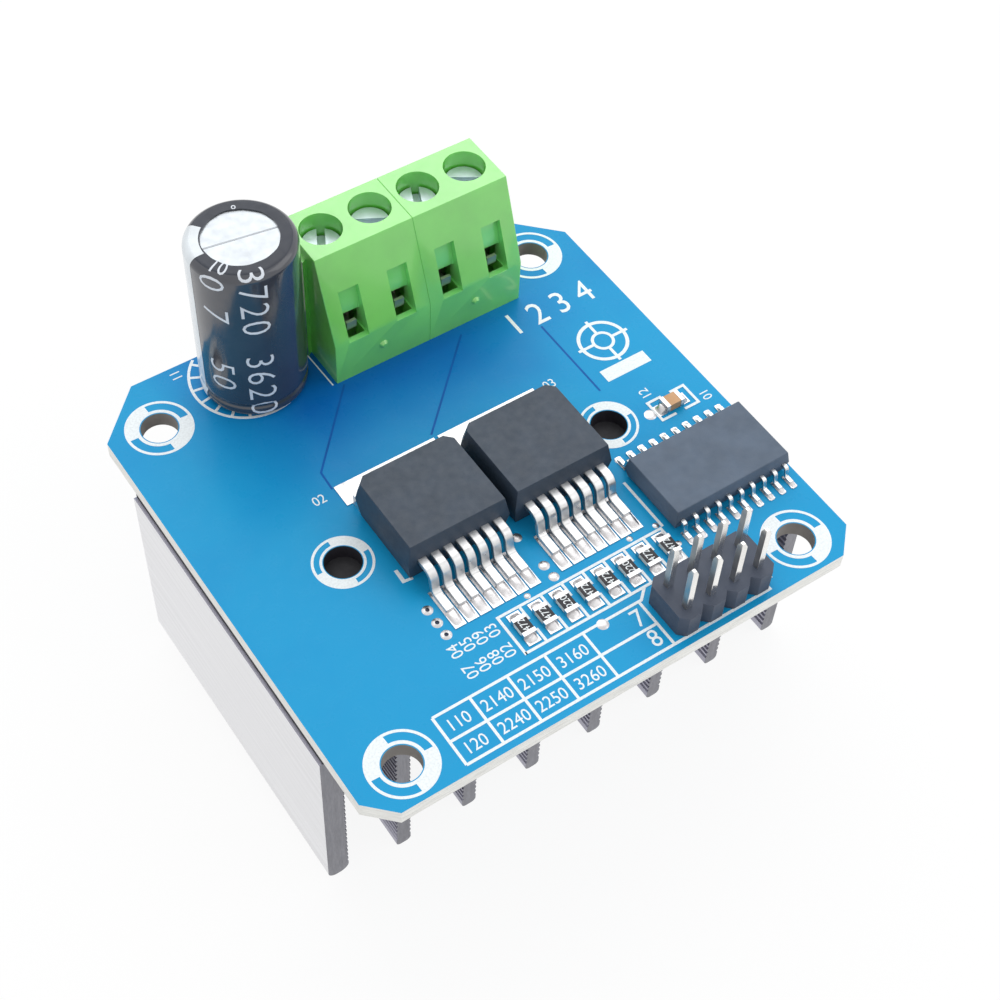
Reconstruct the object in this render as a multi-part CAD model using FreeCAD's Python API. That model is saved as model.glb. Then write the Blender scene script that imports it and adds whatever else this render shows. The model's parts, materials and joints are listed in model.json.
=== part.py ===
import FreeCAD, Part
import math
import os

# A two-channel motor driver board with its heatsink. Every length is in millimetres and every
# angle in degrees. The origin is the centre of the four corner holes, on the board's component
# face. +X runs along the header's edge, +Y points to the screw terminals and +Z is up.

# Circuit board
board_width = 50.2
board_depth = 50.0
board_thickness = 1.6
front_corner_cut = 2.4
back_corner_cut = 4.9
hole_side_margin = 4.78
hole_front_margin = 3.63
hole_back_margin = 5.73
corner_hole_dia = 3.4
inner_hole_spacing = 28.25
inner_hole_from_front = 22.8
inner_hole_dia = 3.4

# Tinned lands on the component face
land_thickness = 0.1
land_overhang = 0.25

# Heatsink: an extrusion with ribbed fins, behind a thermal pad
pad_thickness = 0.5
heatsink_from_front = 8.0
heatsink_from_back = 10.0
heatsink_left_overhang = 0.3
heatsink_right_overhang = 0.98
heatsink_height = 22.1
heatsink_base = 3.2
fin_count = 8
fin_thickness = 1.5
fin_tip_radius = 0.5
edge_fin_thickness = 2.1
edge_fin_shortfall = 1.5
edge_fin_tip_radius = 0.9
rib_pitch = 0.75
rib_groove_width = 0.5
rib_groove_depth = 0.18
rib_root_gap = 0.5
rib_tip_gap = 1.0

# The two driver chips, in seven-lead power packages
driver_spacing = 10.9
driver_from_front = 17.9
driver_width = 10.3
driver_depth = 9.3
driver_height = 4.4
driver_draft = 0.35
driver_corner_cut = 0.7
tab_thickness = 1.27
tab_width = 9.4
tab_depth = 8.4
tab_reach = 1.4
tab_corner_cut = 1.0
tab_land_reach = 1.45
tab_land_step = 0.5
tab_land_width = 10.5
driver_lead_count = 7
driver_lead_pitch = 1.27
driver_lead_width = 0.84
driver_lead_thickness = 0.5
driver_lead_height = 2.35
driver_lead_root = 0.5
driver_lead_shoulder = 1.65
driver_lead_slope = 0.35
driver_lead_foot = 2.4
driver_lead_bend = 0.85
driver_land_width = 1.12
driver_land_reach = 1.65

# The logic chip, in a twenty-lead package
logic_x = 18.15
logic_from_front = 13.65
logic_width = 12.8
logic_depth = 7.5
logic_height = 2.4
logic_standoff = 0.1
logic_draft = 0.2
logic_lead_count = 10
logic_lead_pitch = 1.27
logic_lead_width = 0.42
logic_lead_thickness = 0.26
logic_lead_height = 1.2
logic_lead_root = 0.4
logic_lead_shoulder = 0.4
logic_lead_slope = 0.2
logic_lead_foot = 0.8
logic_lead_bend = 0.25
logic_land_width = 0.62
logic_land_reach = 0.45

# Chip resistors in a row, and one ceramic capacitor
chip_length = 2.0
chip_width = 1.25
chip_cap_length = 0.4
chip_cap_wall = 0.03
resistor_count = 8
resistor_first_x = -5.0
resistor_pitch = 2.185
resistor_from_front = 8.85
resistor_height = 0.5
ceramic_x = 20.35
ceramic_from_front = 21.6
ceramic_height = 0.85
chip_land_gap = 1.1
chip_land_length = 1.2

# Electrolytic capacitor
capacitor_x = -10.1
capacitor_from_back = 5.0
capacitor_radius = 4.95
capacitor_top = 18.0
capacitor_base = 0.3
sleeve_wall = 0.12
sleeve_clearance = 0.03
sleeve_window_radius = 3.38
rim_radius = 0.8
foot_radius = 0.4
crimp_height = 1.5
crimp_half_width = 0.45
crimp_depth = 0.15
seal_radius = 3.6
seal_height = 1.3
capacitor_lead_pitch = 5.0
capacitor_lead_dia = 0.7

# Screw terminals: two blocks of two poles
terminal_blocks = 2
terminal_poles = 2
terminal_pitch = 5.08
terminal_center_x = 6.0
terminal_from_back = 0.7
terminal_depth = 9.1
terminal_top_depth = 6.0
terminal_band_height = 4.8
terminal_height = 13.3
terminal_edge_cut = 0.05
pole_wall = 0.74
cavity_floor = 1.6
cavity_front_wall = 2.2
entry_funnel = 0.5
notch_width = 1.8
notch_from_top = 3.7
notch_drop = 2.2
notch_lip = 0.6
notch_opening = 1.2
well_from_back = 2.9
well_dia = 3.95
well_web = 1.2
pip_height = 2.5
pip_radius = 0.45
pip_proud = 0.3
rail_from_back = 3.75
rail_neck = 1.5
rail_head = 2.1
rail_depth = 0.5
rail_top_gap = 1.0
rail_clearance = 0.05

# The terminals' metal parts
contact_clearance = 0.1
contact_wall = 0.5
contact_floor = 0.8
contact_roof = 1.0
contact_depth = 4.4
contact_leg_width = 1.0
contact_leg_thickness = 0.7
leaf_width = 1.0
leaf_offset = -0.25
leaf_thickness = 0.3
leaf_front_gap = 0.3
leaf_bend = 0.4
screw_head_dia = 3.6
screw_head_height = 1.6
screw_sink = 1.7
screw_travel = 1.4
screw_dia = 2.5
screw_thread_clearance = 0.05
screw_slot_width = 0.75
screw_slot_depth = 0.9
screw_slot_angles = [62, 152, 66, 148]

# Pin header
header_columns = 4
header_rows = 2
header_pitch = 2.54
header_center_x = 10.48
header_from_front = 3.35
header_housing_height = 2.54
header_notch = 0.65
header_pin_size = 0.64
header_pin_top = 7.65
header_pin_point = 0.4

# Plated holes and the solder joints under the board
hole_clearance = 0.12
lead_protrusion = 1.4
joint_radius = 0.9
joint_height = 0.95
joint_gap = 0.02

X_AXIS = FreeCAD.Vector(1, 0, 0)
Y_AXIS = FreeCAD.Vector(0, 1, 0)
Z_AXIS = FreeCAD.Vector(0, 0, 1)

hole_spacing_x = board_width - 2 * hole_side_margin
hole_spacing_y = board_depth - hole_front_margin - hole_back_margin
board_front_y = -hole_spacing_y / 2 - hole_front_margin
board_back_y = hole_spacing_y / 2 + hole_back_margin
board_bottom = -board_thickness
pad_bottom = board_bottom - pad_thickness
tail_end = board_bottom - lead_protrusion
inner_hole_y = board_front_y + inner_hole_from_front
driver_front_y = board_front_y + driver_from_front
logic_y = board_front_y + logic_from_front
resistor_y = board_front_y + resistor_from_front
ceramic_y = board_front_y + ceramic_from_front
header_center_y = board_front_y + header_from_front
capacitor_y = board_back_y - capacitor_from_back

heatsink_y_range = (board_front_y + heatsink_from_front, board_back_y - heatsink_from_back)
heatsink_left_x = -board_width / 2 - heatsink_left_overhang
heatsink_width = board_width + heatsink_left_overhang + heatsink_right_overhang
fin_pitch = (heatsink_width - fin_thickness) / (fin_count - 1)

screw_top = terminal_height - screw_sink
well_floor = screw_top - screw_head_height - screw_travel
cavity_top = well_floor - well_web
notch_top = terminal_height - notch_from_top
notch_bottom = cavity_top - notch_drop
terminal_back_y = board_back_y - terminal_from_back
terminal_front_y = terminal_back_y - terminal_depth
terminal_top_front_y = terminal_back_y - terminal_top_depth
well_y = terminal_back_y - well_from_back
rail_y = terminal_back_y - rail_from_back
terminal_length = terminal_pitch * terminal_poles
terminal_left_x = terminal_center_x - terminal_length * terminal_blocks / 2
pole_count = terminal_blocks * terminal_poles
slope_rate = (terminal_top_front_y - terminal_front_y) / (terminal_height - terminal_band_height)
notch_depth_y = terminal_front_y + (notch_top - terminal_band_height) * slope_rate
cavity_front_y = terminal_front_y + cavity_front_wall
pocket_front_y = terminal_front_y + notch_lip
window_top = notch_bottom + notch_opening
cavity_half = terminal_pitch / 2 - pole_wall


def box(x_range, y_range, z_range):
    """An upright block between two corners."""
    low = FreeCAD.Vector(x_range[0], y_range[0], z_range[0])
    return Part.makeBox(x_range[1] - x_range[0], y_range[1] - y_range[0], z_range[1] - z_range[0], low)


def around(center, size):
    """The range of one size about a centre."""
    return (center - size / 2, center + size / 2)


def prism(points, direction):
    """A closed polygon carried along a direction."""
    return Part.Face(Part.makePolygon(points + points[:1])).extrude(direction)


def cut_rectangle(x_range, y_range, z, front_cut, back_cut):
    """A rectangle at height z, whose front and back corners are cut at 45 degrees."""
    (x0, x1), (y0, y1) = x_range, y_range
    corners = [
        (x0 + front_cut, y0),
        (x1 - front_cut, y0),
        (x1, y0 + front_cut),
        (x1, y1 - back_cut),
        (x1 - back_cut, y1),
        (x0 + back_cut, y1),
        (x0, y1 - back_cut),
        (x0, y0 + front_cut),
    ]
    kept = [corner for place, corner in enumerate(corners) if corner not in corners[:place]]
    return [FreeCAD.Vector(x, y, z) for x, y in kept]


def closed_wire(points):
    """The wire around a list of points."""
    return Part.makePolygon(points + points[:1])


def bent_path(points, radius):
    """Straight runs through the points, with a tangent arc of one radius at each inner point."""
    edges = []
    start = points[0]
    for before, corner, after in zip(points, points[1:], points[2:]):
        arriving = (corner - before).normalize()
        leaving = (after - corner).normalize()
        half_turn = arriving.getAngle(leaving) / 2
        tangent = radius * math.tan(half_turn)
        arc_start = corner - arriving * tangent
        arc_end = corner + leaving * tangent
        inward = (leaving - arriving).normalize()
        arc_middle = corner + inward * (radius / math.cos(half_turn) - radius)
        edges.append(Part.LineSegment(start, arc_start).toShape())
        edges.append(Part.Arc(arc_start, arc_middle, arc_end).toShape())
        start = arc_end
    edges.append(Part.LineSegment(start, points[-1]).toShape())
    return Part.Wire(edges)


def bent_strip(points, radius, width, thickness):
    """A strip of metal bent along a path in a plane of constant x."""
    forward = (points[1] - points[0]).normalize()
    across = X_AXIS * (width / 2)
    upward = forward.cross(X_AXIS) * (thickness / 2)
    corners = [
        points[0] - across - upward,
        points[0] + across - upward,
        points[0] + across + upward,
        points[0] - across + upward,
    ]
    return bent_path(points, radius).makePipeShell([closed_wire(corners)], True, False)


def row(count, pitch, center):
    """The places of a row of like things about a centre."""
    return [center + pitch * (place - (count - 1) / 2) for place in range(count)]


def header_places():
    """The header's pin places, row by row."""
    columns = row(header_columns, header_pitch, header_center_x)
    rows = row(header_rows, header_pitch, header_center_y)
    return [(x, y) for y in rows for x in columns]


def pole_places():
    """The x of each screw terminal's pole."""
    return row(pole_count, terminal_pitch, terminal_center_x)


def capacitor_lead_places():
    """The x of each lead of the electrolytic capacitor."""
    return row(2, capacitor_lead_pitch, capacitor_x)


def through_hole(x, y, dia):
    """The drill for one hole through the board."""
    return Part.makeCylinder(dia / 2, board_thickness, FreeCAD.Vector(x, y, board_bottom))


def square_hole_dia(side_a, side_b):
    """The plated hole that passes a rectangular leg."""
    return math.hypot(side_a, side_b) + hole_clearance


def make_board():
    """The laminate, with its corner cuts and every drilled hole."""
    y_range = (board_front_y, board_back_y)
    outline = cut_rectangle(around(0, board_width), y_range, board_bottom, front_corner_cut, back_corner_cut)
    board = prism(outline, Z_AXIS * board_thickness)
    drills = []
    for x in around(0, hole_spacing_x):
        for y in around(0, hole_spacing_y):
            drills.append(through_hole(x, y, corner_hole_dia))
    for x in around(0, inner_hole_spacing):
        drills.append(through_hole(x, inner_hole_y, inner_hole_dia))
    for x, y in header_places():
        drills.append(through_hole(x, y, square_hole_dia(header_pin_size, header_pin_size)))
    for x in pole_places():
        drills.append(through_hole(x, well_y, square_hole_dia(contact_leg_width, contact_leg_thickness)))
    for x in capacitor_lead_places():
        drills.append(through_hole(x, capacitor_y, capacitor_lead_dia + hole_clearance))
    return board.cut(Part.makeCompound(drills))


def make_pad():
    """The thermal pad between the board and the heatsink's base."""
    return box(around(0, board_width), heatsink_y_range, (pad_bottom, board_bottom))


def make_fin(x_range, z_range, tip_radius):
    """One straight fin with a rounded tip."""
    fin = box(x_range, heatsink_y_range, z_range)
    tip_edges = []
    for edge in fin.Edges:
        along = abs(edge.tangentAt(edge.FirstParameter).y) > 0.5
        if along and edge.CenterOfMass.z < z_range[0] + tip_radius:
            tip_edges.append(edge)
    return fin.makeFillet(tip_radius, tip_edges)


def rib_grooves(x_face, outward, z_range):
    """The V grooves that leave fine ribs along one face of a fin."""
    y = heatsink_y_range[0]
    run = Y_AXIS * (heatsink_y_range[1] - y)
    groove_count = int((z_range[1] - z_range[0]) / rib_pitch)
    grooves = []
    for z in row(groove_count, rib_pitch, (z_range[0] + z_range[1]) / 2):
        outline = [
            FreeCAD.Vector(x_face, y, z - rib_groove_width / 2),
            FreeCAD.Vector(x_face, y, z + rib_groove_width / 2),
            FreeCAD.Vector(x_face - outward * rib_groove_depth, y, z),
        ]
        grooves.append(prism(outline, run))
    return grooves


def make_heatsink():
    """The base plate with its row of fins, extruded along y, ribbed where the fins face each other."""
    base_bottom = pad_bottom - heatsink_base
    x_range = (heatsink_left_x, heatsink_left_x + heatsink_width)
    base = box(x_range, heatsink_y_range, (base_bottom, pad_bottom))
    fin_root = pad_bottom - heatsink_base / 2
    fin_tip = pad_bottom - heatsink_height
    rib_top = base_bottom - rib_root_gap
    fins = []
    grooves = []
    for place in range(fin_count):
        x = heatsink_left_x + fin_pitch * place
        if place == 0:
            thickness, tip, tip_radius = edge_fin_thickness, fin_tip + edge_fin_shortfall, edge_fin_tip_radius
        else:
            thickness, tip, tip_radius = fin_thickness, fin_tip, fin_tip_radius
            grooves += rib_grooves(x, -1, (tip + rib_tip_gap, rib_top))
        if place < fin_count - 1:
            grooves += rib_grooves(x + thickness, 1, (tip + rib_tip_gap, rib_top))
        fins.append(make_fin((x, x + thickness), (tip, fin_root), tip_radius))
    return base.fuse(fins).removeSplitter().cut(Part.makeCompound(grooves))


def package_body(x, y_range, width, z_levels, draft, corner_cut):
    """A moulded chip package: its sides lean in above and below the parting line."""
    z_bottom, z_parting, z_top = z_levels
    sections = []
    for z, lean in ((z_bottom, draft), (z_parting, 0), (z_top, draft)):
        x_range = around(x, width - 2 * lean)
        y_lean = (y_range[0] + lean, y_range[1] - lean)
        sections.append(closed_wire(cut_rectangle(x_range, y_lean, z, 0, corner_cut)))
    return Part.makeLoft(sections, True, True)


def driver_leads(x_center):
    """Seven bent leads that leave the front of a driver chip."""
    foot_z = land_thickness + driver_lead_thickness / 2
    exit_z = land_thickness + driver_lead_height
    shoulder_y = driver_front_y - driver_lead_shoulder
    heel_y = shoulder_y - driver_lead_slope
    leads = []
    for x in row(driver_lead_count, driver_lead_pitch, x_center):
        path = [
            FreeCAD.Vector(x, driver_front_y + driver_lead_root, exit_z),
            FreeCAD.Vector(x, shoulder_y, exit_z),
            FreeCAD.Vector(x, heel_y, foot_z),
            FreeCAD.Vector(x, heel_y - driver_lead_foot, foot_z),
        ]
        leads.append(bent_strip(path, driver_lead_bend, driver_lead_width, driver_lead_thickness))
    return Part.makeCompound(leads)


def driver_tab(x_center):
    """The metal tab under a driver chip, with its cut back corners."""
    back_y = driver_front_y + driver_depth + tab_reach
    y_range = (back_y - tab_reach - tab_depth, back_y)
    outline = cut_rectangle(around(x_center, tab_width), y_range, land_thickness, 0, tab_corner_cut)
    return prism(outline, Z_AXIS * tab_thickness)


def driver_body(x_center, tab, leads):
    """The moulding of a driver chip, closed around its tab and the roots of its leads."""
    y_range = (driver_front_y, driver_front_y + driver_depth)
    z_levels = (land_thickness, land_thickness + driver_lead_height, land_thickness + driver_height)
    body = package_body(x_center, y_range, driver_width, z_levels, driver_draft, driver_corner_cut)
    return body.cut(tab).cut(leads)


def logic_leads():
    """Two rows of small bent leads."""
    foot_z = land_thickness + logic_lead_thickness / 2
    exit_z = land_thickness + logic_lead_height
    leads = []
    for side in (-1, 1):
        face_y = logic_y + side * logic_depth / 2
        shoulder_y = face_y + side * logic_lead_shoulder
        heel_y = shoulder_y + side * logic_lead_slope
        for x in row(logic_lead_count, logic_lead_pitch, logic_x):
            path = [
                FreeCAD.Vector(x, face_y - side * logic_lead_root, exit_z),
                FreeCAD.Vector(x, shoulder_y, exit_z),
                FreeCAD.Vector(x, heel_y, foot_z),
                FreeCAD.Vector(x, heel_y + side * logic_lead_foot, foot_z),
            ]
            leads.append(bent_strip(path, logic_lead_bend, logic_lead_width, logic_lead_thickness))
    return Part.makeCompound(leads)


def logic_body(leads):
    """The moulding of the logic chip, closed around the roots of its leads."""
    y_range = around(logic_y, logic_depth)
    bottom = land_thickness + logic_standoff
    z_levels = (bottom, land_thickness + logic_lead_height, land_thickness + logic_height)
    return package_body(logic_x, y_range, logic_width, z_levels, logic_draft, 0).cut(leads)


def chip_component(x, y, height, turned):
    """A two-ended chip with wrapped metal caps, along y, or along x if it is turned."""
    seat = land_thickness
    core = box(around(x, chip_width), around(y, chip_length), (seat + chip_cap_wall, seat + height))
    caps = []
    for side in (-1, 1):
        cap_y = y + side * (chip_length - chip_cap_length) / 2
        cap_width = chip_width + 2 * chip_cap_wall
        cap_z = (seat, seat + height + chip_cap_wall)
        caps.append(box(around(x, cap_width), around(cap_y, chip_cap_length), cap_z))
    chip = core.fuse(caps).removeSplitter()
    if turned:
        chip.rotate(FreeCAD.Vector(x, y, 0), Z_AXIS, 90)
    return chip


def resistor_places():
    """The x of each resistor in the row."""
    return [resistor_first_x + resistor_pitch * place for place in range(resistor_count)]


def land(x_range, y_range):
    """One tinned land on the component face."""
    return box(x_range, y_range, (0, land_thickness))


def driver_lands(x_center):
    """The land under a driver chip's tab, wider behind the moulding, and one land for each lead."""
    tab_back = driver_front_y + driver_depth + tab_reach
    step_y = driver_front_y + driver_depth + tab_land_step
    wide = land(around(x_center, tab_land_width), (step_y, tab_back + tab_land_reach))
    narrow = land(around(x_center, tab_width), (tab_back - tab_reach - tab_depth, step_y))
    lands = [wide.fuse(narrow).removeSplitter()]
    heel_y = driver_front_y - driver_lead_shoulder - driver_lead_slope
    toe_y = heel_y - driver_lead_foot
    for x in row(driver_lead_count, driver_lead_pitch, x_center):
        lands.append(land(around(x, driver_land_width), (toe_y - driver_land_reach, heel_y + land_overhang)))
    return lands


def logic_lands():
    """One land for each lead of the logic chip."""
    lands = []
    heel = logic_depth / 2 + logic_lead_shoulder + logic_lead_slope
    toe = heel + logic_lead_foot
    for side in (-1, 1):
        near = logic_y + side * (heel - land_overhang)
        far = logic_y + side * (toe + logic_land_reach)
        for x in row(logic_lead_count, logic_lead_pitch, logic_x):
            lands.append(land(around(x, logic_land_width), (min(near, far), max(near, far))))
    return lands


def chip_lands(x, y, turned):
    """The pair of lands under a two-ended chip."""
    lands = []
    for side in (-1, 1):
        offset = side * (chip_land_gap + chip_land_length) / 2
        if turned:
            lands.append(land(around(x + offset, chip_land_length), around(y, chip_width)))
        else:
            lands.append(land(around(x, chip_width), around(y + offset, chip_land_length)))
    return lands


def make_lands():
    """Every tinned land of the component face."""
    lands = []
    for x in around(0, driver_spacing):
        lands += driver_lands(x)
    lands += logic_lands()
    for x in resistor_places():
        lands += chip_lands(x, resistor_y, False)
    lands += chip_lands(ceramic_x, ceramic_y, True)
    return Part.makeCompound(lands)


def capacitor_blank(inset):
    """The capacitor's outer form, taken in by an inset: a revolved profile with its crimp."""
    radius = capacitor_radius - inset
    top = capacitor_top - inset
    base = capacitor_base + inset
    rim = rim_radius - inset
    foot = foot_radius - inset
    lean = math.sqrt(0.5)

    def at(r, z):
        return FreeCAD.Vector(r, 0, z)

    crimp_low = at(radius, crimp_height - crimp_half_width)
    crimp_mid = at(radius - crimp_depth, crimp_height)
    crimp_high = at(radius, crimp_height + crimp_half_width)
    foot_mid = at(radius - foot + foot * lean, base + foot - foot * lean)
    rim_mid = at(radius - rim + rim * lean, top - rim + rim * lean)
    edges = [
        Part.LineSegment(at(0, base), at(radius - foot, base)),
        Part.Arc(at(radius - foot, base), foot_mid, at(radius, base + foot)),
        Part.LineSegment(at(radius, base + foot), crimp_low),
        Part.Arc(crimp_low, crimp_mid, crimp_high),
        Part.LineSegment(crimp_high, at(radius, top - rim)),
        Part.Arc(at(radius, top - rim), rim_mid, at(radius - rim, top)),
        Part.LineSegment(at(radius - rim, top), at(0, top)),
        Part.LineSegment(at(0, top), at(0, base)),
    ]
    section = Part.Face(Part.Wire([edge.toShape() for edge in edges]))
    blank = section.revolve(FreeCAD.Vector(0, 0, 0), Z_AXIS, 360)
    blank.translate(FreeCAD.Vector(capacitor_x, capacitor_y, 0))
    return blank


def capacitor_disc(radius, z_range):
    """A disc on the capacitor's axis."""
    low = FreeCAD.Vector(capacitor_x, capacitor_y, z_range[0])
    return Part.makeCylinder(radius, z_range[1] - z_range[0], low)


def capacitor_height_middle():
    """Half the height of the capacitor."""
    return (capacitor_base + capacitor_top) / 2


def make_sleeve():
    """The printed sleeve: it wraps the can and turns in over both of its ends."""
    window = capacitor_disc(sleeve_window_radius, (capacitor_height_middle(), capacitor_top))
    mouth = capacitor_disc(seal_radius + sleeve_clearance, (0, capacitor_height_middle()))
    return capacitor_blank(0).cut(capacitor_blank(sleeve_wall)).cut(window).cut(mouth)


def make_can():
    """The drawn can, with the recess that holds its rubber seal."""
    recess = capacitor_disc(seal_radius + sleeve_clearance, (0, seal_height))
    return capacitor_blank(sleeve_wall + sleeve_clearance).cut(recess)


def make_capacitor_leads():
    """The two wire leads, from the seal down through the board."""
    leads = []
    for x in capacitor_lead_places():
        foot = FreeCAD.Vector(x, capacitor_y, tail_end)
        leads.append(Part.makeCylinder(capacitor_lead_dia / 2, -tail_end, foot))
    return Part.makeCompound(leads)


def rail(x_face, clearance):
    """The dovetail that joins two terminal blocks, on the block's left end."""
    neck = rail_neck / 2 + clearance
    head = rail_head / 2 + clearance
    x_head = x_face - rail_depth - clearance
    outline = [
        FreeCAD.Vector(x_face, rail_y - neck, 0),
        FreeCAD.Vector(x_face, rail_y + neck, 0),
        FreeCAD.Vector(x_head, rail_y + head, 0),
        FreeCAD.Vector(x_head, rail_y - head, 0),
    ]
    return prism(outline, Z_AXIS * (terminal_height - rail_top_gap + clearance))


def terminal_blank(x_left):
    """The block's side profile carried along x, with its end edges broken."""
    profile = [
        FreeCAD.Vector(x_left, terminal_front_y, 0),
        FreeCAD.Vector(x_left, terminal_front_y, terminal_band_height),
        FreeCAD.Vector(x_left, terminal_top_front_y, terminal_height),
        FreeCAD.Vector(x_left, terminal_back_y, terminal_height),
        FreeCAD.Vector(x_left, terminal_back_y, 0),
    ]
    blank = prism(profile, X_AXIS * terminal_length)
    end_edges = []
    for edge in blank.Edges:
        in_end_face = abs(edge.tangentAt(edge.FirstParameter).x) < 0.5
        if in_end_face and edge.BoundBox.ZMax > 0:
            end_edges.append(edge)
    return blank.makeChamfer(terminal_edge_cut, end_edges)


def entry_mouth(x):
    """The flared mouth of one wire entry, in the back face."""
    sections = []
    for y, flare in ((terminal_back_y - entry_funnel, 0), (terminal_back_y, entry_funnel)):
        x0, x1 = x - cavity_half - flare / 2, x + cavity_half + flare / 2
        z0, z1 = cavity_floor - flare / 2, cavity_top + flare / 2
        corners = [(x0, z0), (x1, z0), (x1, z1), (x0, z1)]
        sections.append(closed_wire([FreeCAD.Vector(a, y, b) for a, b in corners]))
    return Part.makeLoft(sections, True, True)


def pole_cuts(x):
    """All that is moulded out of the block for one pole."""
    cavity_x = (x - cavity_half, x + cavity_half)
    cavity = box(cavity_x, (cavity_front_y, terminal_back_y), (cavity_floor, cavity_top))
    notch = box(around(x, notch_width), (terminal_front_y, notch_depth_y), (notch_bottom, notch_top))
    window = box(around(x, notch_width), (terminal_front_y, cavity_front_y), (notch_bottom, window_top))
    pocket = box(around(x, notch_width), (pocket_front_y, cavity_front_y), (cavity_floor, notch_bottom))
    axis_foot = FreeCAD.Vector(x, well_y, cavity_top)
    bore = Part.makeCylinder(screw_dia / 2 + 2 * contact_clearance, well_floor - cavity_top, axis_foot)
    well_foot = FreeCAD.Vector(x, well_y, well_floor)
    well = Part.makeCylinder(well_dia / 2, terminal_height - well_floor, well_foot)
    leg_x = around(x, contact_leg_width + 2 * contact_clearance)
    leg_y = around(well_y, contact_leg_thickness + 2 * contact_clearance)
    leg_slot = box(leg_x, leg_y, (0, cavity_floor))
    return [cavity, notch, window, pocket, bore, well, leg_slot, entry_mouth(x)]


def make_terminal(block):
    """One two-pole housing, counted from the left."""
    x_left = terminal_left_x + terminal_length * block
    housing = terminal_blank(x_left).fuse(rail(x_left, 0))
    pip_foot = FreeCAD.Vector(x_left + terminal_length / 2, terminal_front_y, pip_height)
    pip = Part.makeCone(pip_radius, pip_radius / 2, pip_proud, pip_foot, -Y_AXIS)
    housing = housing.fuse(pip)
    cuts = [rail(x_left + terminal_length, rail_clearance)]
    for x in row(terminal_poles, terminal_pitch, x_left + terminal_length / 2):
        cuts += pole_cuts(x)
    return housing.cut(Part.makeCompound(cuts)).removeSplitter()


def contact_y_range():
    """The depth of the contact frames, about the screw's axis."""
    return around(well_y, contact_depth)


def screw_tip():
    """The height of the screw tips, with the terminal open."""
    return cavity_top - contact_clearance - 2 * contact_roof


def make_contact(x):
    """A folded contact frame with its solder leg; the screw threads through its roof and down its sides."""
    outer_x = (x - cavity_half + contact_clearance, x + cavity_half - contact_clearance)
    inner_x = (outer_x[0] + contact_wall, outer_x[1] - contact_wall)
    top = cavity_top - contact_clearance
    frame = box(outer_x, contact_y_range(), (cavity_floor, top))
    throat_y = (terminal_front_y, terminal_back_y)
    throat = box(inner_x, throat_y, (cavity_floor + contact_floor, top - contact_roof))
    thread_foot = FreeCAD.Vector(x, well_y, screw_tip() - contact_clearance)
    thread = Part.makeCylinder(screw_dia / 2 + screw_thread_clearance, top - thread_foot.z, thread_foot)
    leg = box(around(x, contact_leg_width), around(well_y, contact_leg_thickness), (tail_end, cavity_floor))
    return frame.cut(throat).cut(thread).fuse(leg).removeSplitter()


def make_screw(x, slot_angle):
    """A slotted clamping screw."""
    head_z = screw_top - screw_head_height
    head = Part.makeCylinder(screw_head_dia / 2, screw_head_height, FreeCAD.Vector(x, well_y, head_z))
    shank = Part.makeCylinder(screw_dia / 2, head_z - screw_tip(), FreeCAD.Vector(x, well_y, screw_tip()))
    slot_z = (screw_top - screw_slot_depth, screw_top)
    slot = box(around(x, 2 * screw_head_dia), around(well_y, screw_slot_width), slot_z)
    slot.rotate(FreeCAD.Vector(x, well_y, 0), Z_AXIS, slot_angle)
    return head.fuse(shank).removeSplitter().cut(slot)


def make_leaf(x):
    """The spring leaf between a screw and its wire: a tongue stands behind the front notch."""
    tongue_y = pocket_front_y + leaf_front_gap + leaf_thickness / 2
    leaf_x = x + leaf_offset
    leaf_z = screw_tip() - leaf_thickness / 2
    path = [
        FreeCAD.Vector(leaf_x, tongue_y, window_top - contact_clearance),
        FreeCAD.Vector(leaf_x, tongue_y, leaf_z),
        FreeCAD.Vector(leaf_x, contact_y_range()[1], leaf_z),
    ]
    return bent_strip(path, leaf_bend, leaf_width, leaf_thickness)


def make_header_pin(x, y):
    """A square pin, pointed at both ends."""
    sections = []
    half_point = header_pin_size / 4
    half_pin = header_pin_size / 2
    levels = [
        (tail_end, half_point),
        (tail_end + header_pin_point, half_pin),
        (header_pin_top - header_pin_point, half_pin),
        (header_pin_top, half_point),
    ]
    for z, half in levels:
        sections.append(closed_wire(cut_rectangle((x - half, x + half), (y - half, y + half), z, 0, 0)))
    return Part.makeLoft(sections, True, True)


def make_header_housing(pins):
    """The header's bar, notched between its cells and closed around its pins."""
    length = header_pitch * header_columns
    depth = header_pitch * header_rows
    x_range = around(header_center_x, length)
    y_range = around(header_center_y, depth)
    outline = cut_rectangle(x_range, y_range, 0, header_notch, header_notch)
    bar = prism(outline, Z_AXIS * header_housing_height)
    notches = []
    for seam in row(header_columns - 1, header_pitch, header_center_x):
        for y, inward in ((y_range[0], 1), (y_range[1], -1)):
            outline = [
                FreeCAD.Vector(seam - header_notch, y, 0),
                FreeCAD.Vector(seam + header_notch, y, 0),
                FreeCAD.Vector(seam, y + inward * header_notch, 0),
            ]
            notches.append(prism(outline, Z_AXIS * header_housing_height))
    return bar.cut(Part.makeCompound(notches)).cut(pins)


def solder_cone(x, y):
    """The cone of solder under one through hole."""
    foot = FreeCAD.Vector(x, y, board_bottom)
    return Part.makeCone(joint_radius, joint_radius / 2, joint_height, foot, -Z_AXIS)


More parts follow.
